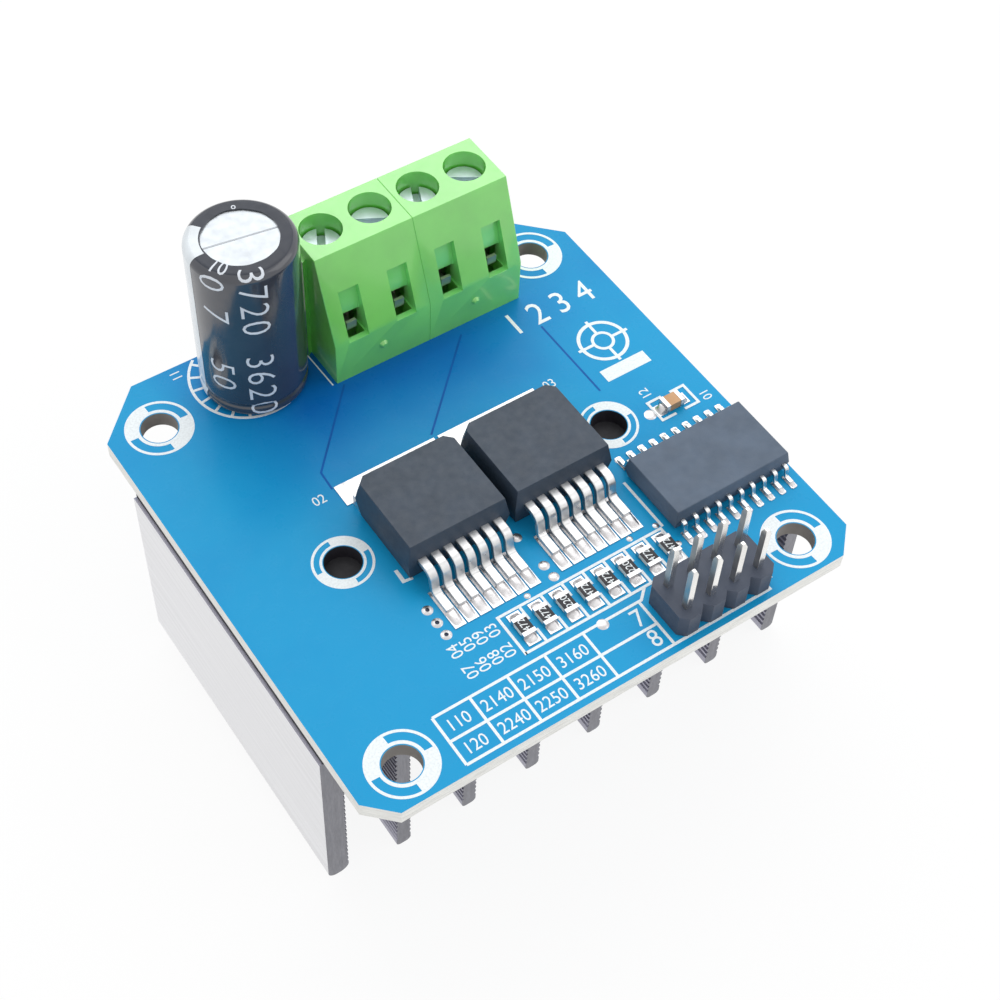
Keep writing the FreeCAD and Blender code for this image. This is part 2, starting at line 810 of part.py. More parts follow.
def make_solder_joints(header_pins, contacts):
    """The solder joints on the underside, each with its lead through it."""
    joints = []
    for x, y in header_places():
        joints.append(solder_cone(x, y))
    for x in pole_places():
        joints.append(solder_cone(x, well_y))
    square_joints = Part.makeCompound(joints).cut(header_pins).cut(contacts)
    round_joints = []
    for x in capacitor_lead_places():
        foot = FreeCAD.Vector(x, capacitor_y, tail_end)
        lead_room = Part.makeCylinder(capacitor_lead_dia / 2 + joint_gap, lead_protrusion, foot)
        round_joints.append(solder_cone(x, capacitor_y).cut(lead_room))
    return Part.makeCompound(square_joints.Solids + round_joints)


def make_parts():
    """Every sub-part by its name."""
    parts = {
        "circuit_board": make_board(),
        "thermal_pad": make_pad(),
        "heatsink": make_heatsink(),
    }
    for name, x in zip(("driver_left", "driver_right"), around(0, driver_spacing)):
        tab = driver_tab(x)
        leads = driver_leads(x)
        parts[name + "_tab"] = tab
        parts[name + "_leads"] = leads
        parts[name + "_body"] = driver_body(x, tab, leads)
    small_leads = logic_leads()
    parts["logic_chip_leads"] = small_leads
    parts["logic_chip_body"] = logic_body(small_leads)
    for number, x in enumerate(resistor_places(), 1):
        parts["resistor_%d" % number] = chip_component(x, resistor_y, resistor_height, False)
    parts["ceramic_capacitor"] = chip_component(ceramic_x, ceramic_y, ceramic_height, True)
    parts["solder_lands"] = make_lands()
    parts["capacitor_sleeve"] = make_sleeve()
    parts["capacitor_can"] = make_can()
    parts["capacitor_seal"] = capacitor_disc(seal_radius, (0, seal_height))
    parts["capacitor_leads"] = make_capacitor_leads()
    parts["terminal_left_housing"] = make_terminal(0)
    parts["terminal_right_housing"] = make_terminal(1)
    contacts = Part.makeCompound([make_contact(x) for x in pole_places()])
    screws = [make_screw(x, angle) for x, angle in zip(pole_places(), screw_slot_angles)]
    parts["terminal_contacts"] = contacts
    parts["terminal_screws"] = Part.makeCompound(screws)
    parts["terminal_leaves"] = Part.makeCompound([make_leaf(x) for x in pole_places()])
    pins = Part.makeCompound([make_header_pin(x, y) for x, y in header_places()])
    parts["header_pins"] = pins
    parts["header_housing"] = make_header_housing(pins)
    parts["solder_joints"] = make_solder_joints(pins, contacts)
    return parts


os.makedirs("parts", exist_ok=True)
for node, shape in make_parts().items():
    shape.exportStep("parts/" + node + ".step")
    print(node, len(shape.Solids), "solids", round(shape.Volume, 2), "mm3", shape.isValid())
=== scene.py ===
import bmesh
import bpy
import json
import math
import numpy as np
from functools import partial
from mathutils import Euler, Matrix, Vector


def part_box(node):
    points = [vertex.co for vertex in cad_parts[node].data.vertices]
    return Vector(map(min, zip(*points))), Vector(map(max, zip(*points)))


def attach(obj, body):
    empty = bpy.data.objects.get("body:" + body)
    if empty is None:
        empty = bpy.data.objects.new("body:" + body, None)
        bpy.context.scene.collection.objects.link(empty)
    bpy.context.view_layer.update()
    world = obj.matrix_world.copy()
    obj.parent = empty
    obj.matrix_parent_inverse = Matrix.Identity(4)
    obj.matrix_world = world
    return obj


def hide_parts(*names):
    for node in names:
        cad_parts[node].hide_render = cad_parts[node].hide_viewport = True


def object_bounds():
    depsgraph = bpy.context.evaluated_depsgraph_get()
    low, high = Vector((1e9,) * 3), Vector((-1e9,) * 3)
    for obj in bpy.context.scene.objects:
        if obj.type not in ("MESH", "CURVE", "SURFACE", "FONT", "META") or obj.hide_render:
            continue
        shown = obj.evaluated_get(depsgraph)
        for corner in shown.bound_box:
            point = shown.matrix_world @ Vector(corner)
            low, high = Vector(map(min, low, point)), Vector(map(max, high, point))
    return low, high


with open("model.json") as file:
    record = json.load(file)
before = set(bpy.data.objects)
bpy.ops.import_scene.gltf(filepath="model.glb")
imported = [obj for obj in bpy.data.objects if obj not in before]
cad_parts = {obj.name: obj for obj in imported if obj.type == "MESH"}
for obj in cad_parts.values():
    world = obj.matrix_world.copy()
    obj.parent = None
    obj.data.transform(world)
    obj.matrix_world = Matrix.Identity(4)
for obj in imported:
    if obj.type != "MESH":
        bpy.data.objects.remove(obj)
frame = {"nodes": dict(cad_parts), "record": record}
CAD_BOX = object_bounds()

bl_info = {
    "name": "Motor driver board",
    "version": (1, 0, 0),
    "blender": (4, 5, 0),
    "location": "View3D > Sidebar > Driver board",
    "description": "Print, solder and finishes for a two-channel motor driver board on its heatsink",
    "category": "Add Mesh",
}

# Metres in a millimetre. Lengths below are in millimetres, in the frame of the board: the
# origin is the centre of the four corner holes on the component face, and +Z is up.
MM = 0.001
BODY = "root"

# Degrees between two faces past which their edge shades as sharp, and past which it is rounded
SHARP_ANGLE = 30
ROUNDED_ANGLE = 35
# Degrees within which the triangles of one flat face are joined, and millimetres within which
# their corners are
FLAT_ANGLE = 0.5
CORNER_REACH = 0.0005
# Steps of a full printed ring, and degrees of a step in a part of one
RING_STEPS = 64
SECTOR_STEP = 5
# What most of a noise's values lie between, and what its middle ones do
NOISE_SPAN = (0.3, 0.7)
MIDDLE_SPAN = (0.35, 0.65)


def shade(red, green, blue):
    """A colour as it shows on screen, from 0 to 255, turned into the linear colour a shader takes."""
    levels = np.array([red, green, blue]) / 255
    return tuple(np.where(levels <= 0.04045, levels / 12.92, ((levels + 0.055) / 1.055) ** 2.4))


def node_box(node):
    """The lowest and highest corner of a CAD node, in millimetres."""
    low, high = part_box(node)
    return np.array(low) / MM, np.array(high) / MM


def node_middle(node):
    """The middle of a CAD node's box, in millimetres."""
    low, high = node_box(node)
    return (low + high) / 2


def row(count, pitch, center):
    """The places of a row of like things about a centre."""
    return center + pitch * (np.arange(count) - (count - 1) / 2)


# Settings: the sizes and colours a user would change

class PrintSettings(bpy.types.PropertyGroup):
    """The white print on the component face."""

    line_width: bpy.props.FloatProperty(
        name="Line width", description="Width of a printed line", default=0.26 * MM, unit="LENGTH"
    )
    thickness: bpy.props.FloatProperty(
        name="Thickness", description="Height of the ink over the mask", default=0.02 * MM, unit="LENGTH"
    )
    ink: bpy.props.FloatVectorProperty(
        name="Ink", description="Colour of the print", default=shade(240, 247, 250), subtype="COLOR"
    )


class BoardSettings(bpy.types.PropertyGroup):
    """The laminate and its solder mask."""

    mask: bpy.props.FloatVectorProperty(
        name="Mask", description="Solder mask over copper", default=shade(26, 154, 208), subtype="COLOR"
    )
    # The mask is its lit colour. The deep mask is painted shade that the mask turns to beside the tall
    # parts, not mask over bare laminate.
    mask_painted_shade: bpy.props.FloatVectorProperty(
        name="Deep mask", description="Solder mask over bare laminate", default=shade(8, 102, 182),
        subtype="COLOR"
    )
    edge: bpy.props.FloatVectorProperty(
        name="Edge", description="The laminate's cut edge", default=shade(244, 244, 240), subtype="COLOR"
    )


class MetalSettings(bpy.types.PropertyGroup):
    """Tin, solder and aluminium."""

    tin: bpy.props.FloatVectorProperty(
        name="Tin", description="Tin plate on the leads", default=shade(222, 222, 222), subtype="COLOR"
    )
    solder: bpy.props.FloatVectorProperty(
        name="Solder", description="Solder on the lands", default=shade(214, 212, 213), subtype="COLOR"
    )
    aluminium: bpy.props.FloatVectorProperty(
        name="Aluminium", description="The heatsink's extrusion", default=shade(232, 232, 234),
        subtype="COLOR"
    )


class PlasticSettings(bpy.types.PropertyGroup):
    """The moulded parts."""

    terminal: bpy.props.FloatVectorProperty(
        name="Terminals", description="The screw terminals' housings", default=shade(118, 213, 90),
        subtype="COLOR"
    )
    # painted light and shade: the colour that the faces inside the notches take in place of the moulding's
    terminal_notch_shade: bpy.props.FloatVectorProperty(
        name="Notches", description="The notches in the housings, in the shade",
        default=shade(124, 222, 116), subtype="COLOR"
    )
    package: bpy.props.FloatVectorProperty(
        name="Packages", description="The chips' mouldings", default=shade(48, 60, 75), subtype="COLOR"
    )
    logic: bpy.props.FloatVectorProperty(
        name="Logic chip", description="The logic chip's moulding", default=shade(84, 98, 116),
        subtype="COLOR"
    )
    header: bpy.props.FloatVectorProperty(
        name="Header", description="The pin header's bar", default=shade(68, 76, 92), subtype="COLOR"
    )
    sleeve: bpy.props.FloatVectorProperty(
        name="Sleeve", description="The capacitor's sleeve", default=shade(54, 57, 66), subtype="COLOR"
    )


class StageSettings(bpy.types.PropertyGroup):
    """The camera, the lamps and the floor."""

    lens: bpy.props.FloatProperty(
        name="Lens", description="Focal length on a 36 mm sensor", default=65.63, unit="CAMERA"
    )
    sky: bpy.props.FloatProperty(
        name="Sky", description="Strength of the even light from all round", default=0.8
    )
    key: bpy.props.FloatProperty(
        name="Key", description="Power of the large lamp overhead", default=0.7, unit="POWER"
    )


class DriverBoardSettings(bpy.types.PropertyGroup):
    """All the settings of the board."""

    ink: bpy.props.PointerProperty(name="Print", type=PrintSettings)
    board: bpy.props.PointerProperty(name="Board", type=BoardSettings)
    metal: bpy.props.PointerProperty(name="Metal", type=MetalSettings)
    plastic: bpy.props.PointerProperty(name="Plastic", type=PlasticSettings)
    stage: bpy.props.PointerProperty(name="Stage", type=StageSettings)


def settings():
    """The scene's settings."""
    return bpy.context.scene.driver_board


# Shapes: points in millimetres with their faces

def grid_faces(rows, columns, wrap_rows=False, wrap_columns=False):
    """Quads of a grid of points: each joins a point to its neighbours along both parameters."""
    i = np.arange(rows if wrap_rows else rows - 1)
    j = np.arange(columns if wrap_columns else columns - 1)
    i, j = np.meshgrid(i, j, indexing="ij")
    i_next, j_next = (i + 1) % rows, (j + 1) % columns
    corners = [i * columns + j, i_next * columns + j, i_next * columns + j_next, i * columns + j_next]
    return np.stack(corners, axis=-1).reshape(-1, 4)


def joined(shapes):
    """The points and faces of several shapes as one."""
    starts = np.cumsum([0] + [len(points) for points, faces in shapes[:-1]])
    faces = [faces + start for (points, faces), start in zip(shapes, starts)]
    return np.concatenate([points for points, faces in shapes]), np.concatenate(faces)


def arc(center, radius, start, end, count):
    """Level points at equal angles, in degrees, round a centre."""
    angle = np.radians(np.linspace(start, end, count))
    return np.column_stack([center[0] + radius * np.cos(angle), center[1] + radius * np.sin(angle)])


def bar(path, width, z_range, closed=False):
    """A flat bar along a level path. Each point steps sideways along the mitre, which is the sum of
    the normals of the runs before and after it, over one plus the cosine of the turn."""
    path = np.asarray(path, float)
    ahead = np.roll(path, -1, axis=0) - path
    behind = path - np.roll(path, 1, axis=0)
    if not closed:
        ahead[-1], behind[0] = behind[-1], ahead[0]
    ahead /= np.linalg.norm(ahead, axis=1, keepdims=True)
    behind /= np.linalg.norm(behind, axis=1, keepdims=True)
    normal = np.column_stack([-ahead[:, 1] - behind[:, 1], ahead[:, 0] + behind[:, 0]])
    side = normal / (1 + np.sum(ahead * behind, axis=1, keepdims=True)) * width / 2
    rim = [np.column_stack([path + s * side, np.full(len(path), z)])
           for s, z in ((-1, z_range[0]), (1, z_range[0]), (1, z_range[1]), (-1, z_range[1]))]
    points = np.stack(rim, axis=1).reshape(-1, 3)
    faces = grid_faces(len(path), 4, wrap_rows=closed, wrap_columns=True)
    if not closed:
        last = 4 * (len(path) - 1)
        faces = np.concatenate([faces, [[0, 1, 2, 3], [last + 3, last + 2, last + 1, last]]])
    return points, faces


def ring(center, radii, z_range, angles=(0, 360)):
    """A ring, or a sector of one between two angles: a bar along its middle circle."""
    middle, width = (radii[0] + radii[1]) / 2, radii[1] - radii[0]
    full = angles[1] - angles[0] == 360
    end = angles[1] - (360 / RING_STEPS if full else 0)
    count = RING_STEPS if full else max(6, int((angles[1] - angles[0]) / SECTOR_STEP))
    return bar(arc(center, middle, angles[0], end, count), width, z_range, closed=full)


def lathe(profile, center, steps=128):
    """A profile of radii and heights, carried once round an upright axis."""
    angle = np.arange(steps) * 2 * np.pi / steps
    radius, height = np.asarray(profile, float).T
    x = center[0] + radius[:, None] * np.cos(angle)
    y = center[1] + radius[:, None] * np.sin(angle)
    z = np.broadcast_to(height[:, None], x.shape)
    return np.stack([x, y, z], axis=-1).reshape(-1, 3), len(radius), steps


def number(text, height, squeeze=1.0, weight=0.0, spacing=1.0):
    """The points and triangles of a number in the built-in font, centred, one unit thick."""
    half_depth = 0.5
    curve = bpy.data.curves.new("number", "FONT")
    curve.body = text
    curve.extrude = half_depth
    curve.offset = weight
    curve.space_character = spacing
    curve.resolution_u = 3
    obj = bpy.data.objects.new("number", curve)
    bpy.context.scene.collection.objects.link(obj)
    graph = bpy.context.evaluated_depsgraph_get()
    mesh = bpy.data.meshes.new_from_object(obj.evaluated_get(graph))
    mesh.calc_loop_triangles()
    points = np.empty(len(mesh.vertices) * 3)
    faces = np.empty(len(mesh.loop_triangles) * 3, int)
    mesh.vertices.foreach_get("co", points)
    mesh.loop_triangles.foreach_get("vertices", faces)
    bpy.data.objects.remove(obj)
    bpy.data.curves.remove(curve)
    bpy.data.meshes.remove(mesh)
    points = points.reshape(-1, 3)
    low, high = points.min(0), points.max(0)
    points[:, :2] = (points[:, :2] - (low[:2] + high[:2]) / 2) * height / (high[1] - low[1])
    points[:, 0] *= squeeze
    points[:, 2] += half_depth
    return points, faces.reshape(-1, 3)


def laid(shape, place, turn, z_range):
    """A flat shape turned about its middle, in degrees, moved to its place and given its heights."""
    points, faces = shape
    cosine, sine = math.cos(math.radians(turn)), math.sin(math.radians(turn))
    x = place[0] + points[:, 0] * cosine - points[:, 1] * sine
    y = place[1] + points[:, 0] * sine + points[:, 1] * cosine
    z = z_range[0] + points[:, 2] * (z_range[1] - z_range[0])
    return np.column_stack([x, y, z]), faces


# Pieces: meshes that ride on the board

def facing_out(name, shape):
    """A mesh of points in millimetres and faces, with every face turned outward."""
    points, faces = shape
    mesh = bpy.data.meshes.new(name)
    mesh.from_pydata((points * MM).tolist(), [], faces.tolist())
    turned = bmesh.new()
    turned.from_mesh(mesh)
    bmesh.ops.recalc_face_normals(turned, faces=turned.faces)
    turned.to_mesh(mesh)
    turned.free()
    return mesh


def add_piece(name, shape, material):
    """A new piece of the board, with its finish."""
    return dress(name, facing_out(name, shape), material)


def shade_mesh(mesh):
    """Smooth shading that stops at the sharp edges."""
    mesh.shade_smooth()
    mesh.set_sharp_from_angle(angle=math.radians(SHARP_ANGLE))


def dress(name, mesh, material):
    """The object of a new mesh, with its shading, finish and body."""
    shade_mesh(mesh)
    mesh.materials.clear()
    mesh.materials.append(material)
    obj = bpy.data.objects.new(name, mesh)
    bpy.context.scene.collection.objects.link(obj)
    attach(obj, BODY)
    return obj


def carve(obj, shape):
    """Cuts a closed shape, in millimetres, out of a piece."""
    mesh = facing_out("cutter", shape)
    cutter = bpy.data.objects.new("cutter", mesh)
    bpy.context.scene.collection.objects.link(cutter)
    cut = obj.modifiers.new("Cut", "BOOLEAN")
    cut.operation, cut.solver, cut.object = "DIFFERENCE", "EXACT", cutter
    graph = bpy.context.evaluated_depsgraph_get()
    carved = bpy.data.meshes.new_from_object(obj.evaluated_get(graph))
    obj.modifiers.remove(cut)
    bpy.data.objects.remove(cutter)
    bpy.data.meshes.remove(mesh)
    shade_mesh(carved)
    obj.data = carved
    return carved


def rounded_copy(node, name, radius, material, others=(), choice=None, cutter=None):
    """A copy of a CAD node with its triangles merged into faces and its sharp edges rounded. The
    choice numbers the faces that take the other materials, and a cutter is taken away first."""
    mesh = frame["nodes"][node].data.copy()
    mesh.name = name
    if "custom_normal" in mesh.attributes:
        mesh.attributes.remove(mesh.attributes["custom_normal"])
    merged = bmesh.new()
    merged.from_mesh(mesh)
    bmesh.ops.remove_doubles(merged, verts=merged.verts, dist=CORNER_REACH * MM)
    flat = math.radians(FLAT_ANGLE)
    bmesh.ops.dissolve_limit(merged, angle_limit=flat, verts=merged.verts, edges=merged.edges)
    merged.to_mesh(mesh)
    merged.free()
    obj = dress(name, mesh, material)
    if cutter is not None:
        mesh = carve(obj, cutter)
    for other in others:
        mesh.materials.append(other)
    if choice is not None:
        pick_materials(mesh, choice)
    edge = obj.modifiers.new("Rounded edges", "BEVEL")
    edge.width = radius * MM
    edge.segments = 2
    edge.limit_method = "ANGLE"
    edge.angle_limit = math.radians(ROUNDED_ANGLE)
    edge.harden_normals = True
    edge.use_clamp_overlap = True
    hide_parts(node)
    return obj


def finish_node(node, *materials, choice=None):
    """Gives a CAD node its finishes. With a choice, each face takes the finish of that number."""
    mesh = frame["nodes"][node].data
    mesh.materials.clear()
    for material in materials:
        mesh.materials.append(material)
    if choice is not None:
        pick_materials(mesh, choice)


def pick_materials(mesh, choice):
    """Gives each face the material whose number the choice returns for its middle and direction."""
    middles = np.empty(len(mesh.polygons) * 3)
    normals = np.empty(len(mesh.polygons) * 3)
    mesh.polygons.foreach_get("center", middles)
    mesh.polygons.foreach_get("normal", normals)
    picked = choice(middles.reshape(-1, 3) / MM, normals.reshape(-1, 3))
    mesh.polygons.foreach_set("material_index", picked.astype(np.int32))


# Finishes: one procedural material each

class Finish:
    """A material being made: one principled shader, with patterns on object coordinates."""

    coat_roughness = 0.12
    # the places of the Mix node's sockets for colours, which share their names with others
    mix_colours, mix_result = (6, 7), 2

    def __init__(self, name, colour, roughness, metallic=0.0, coat=0.0, gloss=0.5):
        self.material = bpy.data.materials.new(name)
        self.material.use_nodes = True
        self.nodes = self.material.node_tree.nodes
        self.link = self.material.node_tree.links.new
        self.shader = self.nodes["Principled BSDF"]
        self.shader.inputs["Base Color"].default_value = (*colour, 1)
        self.shader.inputs["Roughness"].default_value = roughness
        self.shader.inputs["Metallic"].default_value = metallic
        self.shader.inputs["Specular IOR Level"].default_value = gloss
        self.shader.inputs["Coat Weight"].default_value = coat
        self.shader.inputs["Coat Roughness"].default_value = self.coat_roughness
        self.place = self.nodes.new("ShaderNodeTexCoord").outputs["Object"]

    def stretched(self, stretch):
        """Object coordinates in millimetres, scaled along each axis."""
        mapping = self.nodes.new("ShaderNodeMapping")
        mapping.inputs["Scale"].default_value = [value / MM for value in stretch]
        self.link(self.place, mapping.inputs["Vector"])
        return mapping.outputs["Vector"]

    def noise(self, scale, detail=3.0, stretch=(1, 1, 1)):
        """Noise with about this many grains in a millimetre."""
        texture = self.nodes.new("ShaderNodeTexNoise")
        texture.inputs["Scale"].default_value = scale
        texture.inputs["Detail"].default_value = detail
        self.link(self.stretched(stretch), texture.inputs["Vector"])
        return texture.outputs["Fac"]

    def ramp(self, value, from_range, to_range):
        """A value carried from one range to another."""
        node = self.nodes.new("ShaderNodeMapRange")
        self.link(value, node.inputs["Value"])
        for socket, limit in zip(("From Min", "From Max", "To Min", "To Max"), (*from_range, *to_range)):
            node.inputs[socket].default_value = limit
        return node.outputs["Result"]

    def math(self, operation, first, second=0.0):
        """One sum on values or numbers."""
        node = self.nodes.new("ShaderNodeMath")
        node.operation = operation
        for socket, value in zip(node.inputs, (first, second)):
            if isinstance(value, (int, float)):
                socket.default_value = value
            else:
                self.link(value, socket)
        return node.outputs["Value"]

    def axes(self):
        """The x, y and z of object coordinates, in millimetres."""
        node = self.nodes.new("ShaderNodeSeparateXYZ")
        self.link(self.stretched((1, 1, 1)), node.inputs["Vector"])
        return node.outputs

    def blend(self, factor, first, second):
        """A colour between two, by a factor."""
        node = self.nodes.new("ShaderNodeMix")
        node.data_type = "RGBA"
        self.link(factor, node.inputs["Factor"])
        for place, value in zip(self.mix_colours, (first, second)):
            node.inputs[place].default_value = (*value, 1)
        return node.outputs[self.mix_result]

    def colour(self, socket):
        """Gives the shader its colour."""
        self.link(socket, self.shader.inputs["Base Color"])

    def tones(self, value, span, dark, light):
        """Colours the surface between two tones, as a value goes through a span."""
        self.colour(self.blend(self.ramp(value, span, (0, 1)), dark, light))

    def uneven(self, value, low, high):
        """Lets the roughness swing between two limits with a noise."""
        self.link(self.ramp(value, NOISE_SPAN, (low, high)), self.shader.inputs["Roughness"])

    def bump(self, height, strength, distance):
        """Raises the surface by a height, over a distance in millimetres."""
        node = self.nodes.new("ShaderNodeBump")
        node.inputs["Strength"].default_value = strength
        node.inputs["Distance"].default_value = distance * MM
        self.link(height, node.inputs["Height"])
        self.link(node.outputs["Normal"], self.shader.inputs["Normal"])


def scaled(colour, factor):
    """A colour made lighter or darker."""
    return tuple(min(1.0, channel * factor) for channel in colour)


def plastic(name, colour, roughness, grain=6.0, relief=0.02, coat=0.0, gloss=0.5):
    """Moulded plastic: faint mottling, an uneven gloss and a fine grain."""
    made = Finish(name, colour, roughness, coat=coat, gloss=gloss)
    made.tones(made.noise(0.4, 4), MIDDLE_SPAN, scaled(colour, 0.9), scaled(colour, 1.08))
    made.uneven(made.noise(1.3), roughness - 0.06, roughness + 0.08)
    made.bump(made.noise(grain, 2), 0.5, relief)
    return made.material


def metal(name, colour, roughness, grain=3.0, relief=0.01, stretch=(1, 1, 1), stained=0.86, metallic=1.0):
    """Plated or drawn metal: stains down to a share of its colour, and a grain. Both may be stretched
    along one axis."""
    made = Finish(name, colour, roughness, metallic)
    stain = made.noise(0.8, 4, stretch)
    made.tones(stain, NOISE_SPAN, scaled(colour, stained), scaled(colour, 1.05))
    grained = made.noise(grain, 3, stretch)
    made.uneven(grained, roughness - 0.07, roughness + 0.1)
    made.bump(grained, 0.4, relief)
    return made.material


# Where the mask turns to its painted shade beside the tall parts, in millimetres: along y towards the
# terminals, and along x from the right and from the left edge
SHADE_ALONG_Y = (3.0, 15.0)
SHADE_FROM_RIGHT = (22.0, 8.0)
SHADE_FROM_LEFT = (-20.0, -8.0)
# The share of the painted shade that is left at the right edge
SHADE_AT_RIGHT = 0.15


def mask_finish():
    """Solder mask: glossy, with painted shade blended in beside the tall parts, and a faint weave under
    it.
    """
    look = settings().board
    made = Finish("solder_mask", look.mask, 0.3, coat=0.03, gloss=0.12)
    x, y, z = made.axes()
    toward_terminals = made.ramp(y, SHADE_ALONG_Y, (0, 1))
    from_right = made.ramp(x, SHADE_FROM_RIGHT, (SHADE_AT_RIGHT, 1))
    from_left = made.ramp(x, SHADE_FROM_LEFT, (0, 1))
    shaded = made.math("MULTIPLY", made.math("MULTIPLY", toward_terminals, from_right), from_left)
    cloud = made.ramp(made.noise(0.09, 2), NOISE_SPAN, (-0.12, 0.12))
    tone = made.math("ADD", shaded, cloud)
    made.colour(made.blend(tone, tuple(look.mask), tuple(look.mask_painted_shade)))
    made.uneven(made.noise(0.7), 0.24, 0.36)
    made.bump(made.noise(1.1, 2), 0.2, 0.008)
    return made.material


def laminate_edge_finish():
    """The routed edge of the laminate: pale glass layers in resin."""
    look = settings().board
    made = Finish("laminate_edge", look.edge, 0.7)
    layers = made.noise(2.0, 3, (0.3, 0.3, 5.0))
    made.tones(layers, MIDDLE_SPAN, scaled(look.edge, 0.82), look.edge)
    made.bump(layers, 0.6, 0.05)
    return made.material


def ink_finish():
    """Screen-printed ink: matte, with a slightly broken tone."""
    look = settings().ink
    made = Finish("white_ink", look.ink, 0.6)
    made.tones(made.noise(5.0, 4), (0.3, 0.62), scaled(look.ink, 0.86), look.ink)
    return made.material


def solder_finish():
    """Bright solder with fine ripples."""
    look = settings().metal
    made = Finish("bright_solder", look.solder, 0.3, metallic=1.0)
    made.tones(made.noise(1.6, 4), (0.35, 0.7), scaled(look.solder, 0.82), look.solder)
    made.uneven(made.noise(3.0), 0.22, 0.4)
    made.bump(made.noise(2.4, 3), 0.4, 0.025)
    return made.material


# The stage

class DRIVERBOARD_OT_stage(bpy.types.Operator):
    """Adds the camera, the soft lamps, the white floor and the even sky"""

    bl_idname = "driver_board.stage"
    bl_label = "Stage"

    # degrees, and millimetres
    camera_turn = (36.978176, -2.197399, -34.263012)
    camera_place = (-57.469, -79.889, 128.088)
    # metres from the middle of the floor to its edge, and the share of its light that is its own
    floor_half = 1.5
    floor_glow = 0.9
    # place and size in millimetres, and share of the key lamp's power
    lamps = (("key_lamp", (120, 230, 300), 380, 1.0), ("fill_lamp", (260, -160, 240), 300, 0.35))

    def execute(self, context):
        look = settings().stage
        scene = context.scene
        scene.view_settings.view_transform = "Standard"
        self.add_camera(scene, look)
        self.add_floor(scene)
        self.add_sky(scene, look)
        for name, place, size, share in self.lamps:
            self.add_lamp(scene, name, place, size, look.key * share)
        return {"FINISHED"}

    def add_camera(self, scene, look):
        """The camera that the photograph was taken with, solved from the board's own corners."""
        camera = bpy.data.cameras.new("photo_camera")
        camera.lens = look.lens
        camera.sensor_width = 36
        camera.clip_start, camera.clip_end = 0.01, 10
        obj = bpy.data.objects.new("photo_camera", camera)
        angles = Euler([math.radians(value) for value in self.camera_turn])
        place = Vector(self.camera_place) * MM
        obj.matrix_world = Matrix.Translation(place) @ angles.to_matrix().to_4x4()
        scene.collection.objects.link(obj)
        scene.camera = obj

    def add_floor(self, scene):
        """A wide floor that shows white to the camera, in mirrors and through gaps, less its shadow."""
        bottom, half = CAD_BOX[0].z, self.floor_half
        mesh = bpy.data.meshes.new("floor")
        turns = ((-1, -1), (1, -1), (1, 1), (-1, 1))
        mesh.from_pydata([(x * half, y * half, bottom) for x, y in turns], [], [(0, 1, 2, 3)])
        material = bpy.data.materials.new("floor_white")
        material.use_nodes = True
        nodes, link = material.node_tree.nodes, material.node_tree.links.new
        diffuse = nodes["Principled BSDF"]
        diffuse.inputs["Base Color"].default_value = (0.95, 0.95, 0.95, 1)
        diffuse.inputs["Roughness"].default_value = 0.9
        diffuse.inputs["Specular IOR Level"].default_value = 0.0
        glow = nodes.new("ShaderNodeEmission")
        glow.inputs["Strength"].default_value = 1.0
        lit = nodes.new("ShaderNodeMixShader")
        lit.inputs["Fac"].default_value = self.floor_glow
        link(diffuse.outputs[0], lit.inputs[1])
        link(glow.outputs[0], lit.inputs[2])
        chosen = nodes.new("ShaderNodeMixShader")
        link(self.seen_directly(nodes, link), chosen.inputs["Fac"])
        link(diffuse.outputs[0], chosen.inputs[1])
        link(lit.outputs[0], chosen.inputs[2])
        link(chosen.outputs[0], nodes["Material Output"].inputs["Surface"])
        mesh.materials.append(material)
        floor = bpy.data.objects.new("floor", mesh)
        scene.collection.objects.link(floor)

    def seen_directly(self, nodes, link):
        """One for a ray from the camera, a mirror or a clear body, and nought for light on its way."""
        path = nodes.new("ShaderNodeLightPath")
        total = path.outputs["Is Camera Ray"]
        for kind in ("Is Glossy Ray", "Is Transmission Ray"):
            highest = nodes.new("ShaderNodeMath")
            highest.operation = "MAXIMUM"
            link(total, highest.inputs[0])
            link(path.outputs[kind], highest.inputs[1])
            total = highest.outputs[0]
        return total

    def add_sky(self, scene, look):
        """An even white sky, at full white where the camera or a mirror sees it."""
        world = bpy.data.worlds.new("sky")
        world.use_nodes = True
        nodes, link = world.node_tree.nodes, world.node_tree.links.new
        background = nodes["Background"]
        background.inputs["Color"].default_value = (1, 1, 1, 1)
        strength = nodes.new("ShaderNodeMapRange")
        strength.inputs["To Min"].default_value = look.sky
        strength.inputs["To Max"].default_value = 1.0
        link(self.seen_directly(nodes, link), strength.inputs["Value"])
        link(strength.outputs["Result"], background.inputs["Strength"])
        scene.world = world

    def add_lamp(self, scene, name, place, size, power):
        """One square soft lamp, aimed at the board."""
        lamp = bpy.data.lights.new(name, "AREA")
        lamp.shape = "SQUARE"
        lamp.size = size * MM
        lamp.energy = power
        obj = bpy.data.objects.new(name, lamp)
        spot = Vector(place) * MM
        obj.matrix_world = Matrix.Translation(spot) @ spot.to_track_quat("Z", "Y").to_matrix().to_4x4()
        scene.collection.objects.link(obj)


# The board and its print

# The bottom and top of a thin gap in the copper, in millimetres over the mask
COPPER_GAP = (0, 0.006)
# How much higher the ink of each further line is printed
INK_STEP = 0.0015
HOLE_SPACING = frame["record"]["mounts"][0]["dims"]["spacing_x_mm"]
INNER_HOLES = [(-14.125, -1.15), (14.125, -1.15)]
# The numbers of the resistors, from left to right
RESISTORS = range(1, 9)


def ink_heights(order=0):
    """The bottom and top of the print, in millimetres over the mask. Lines that cross take different
    orders, so that their tops don't lie in one plane."""
    return (0, settings().ink.thickness / MM + INK_STEP * order)


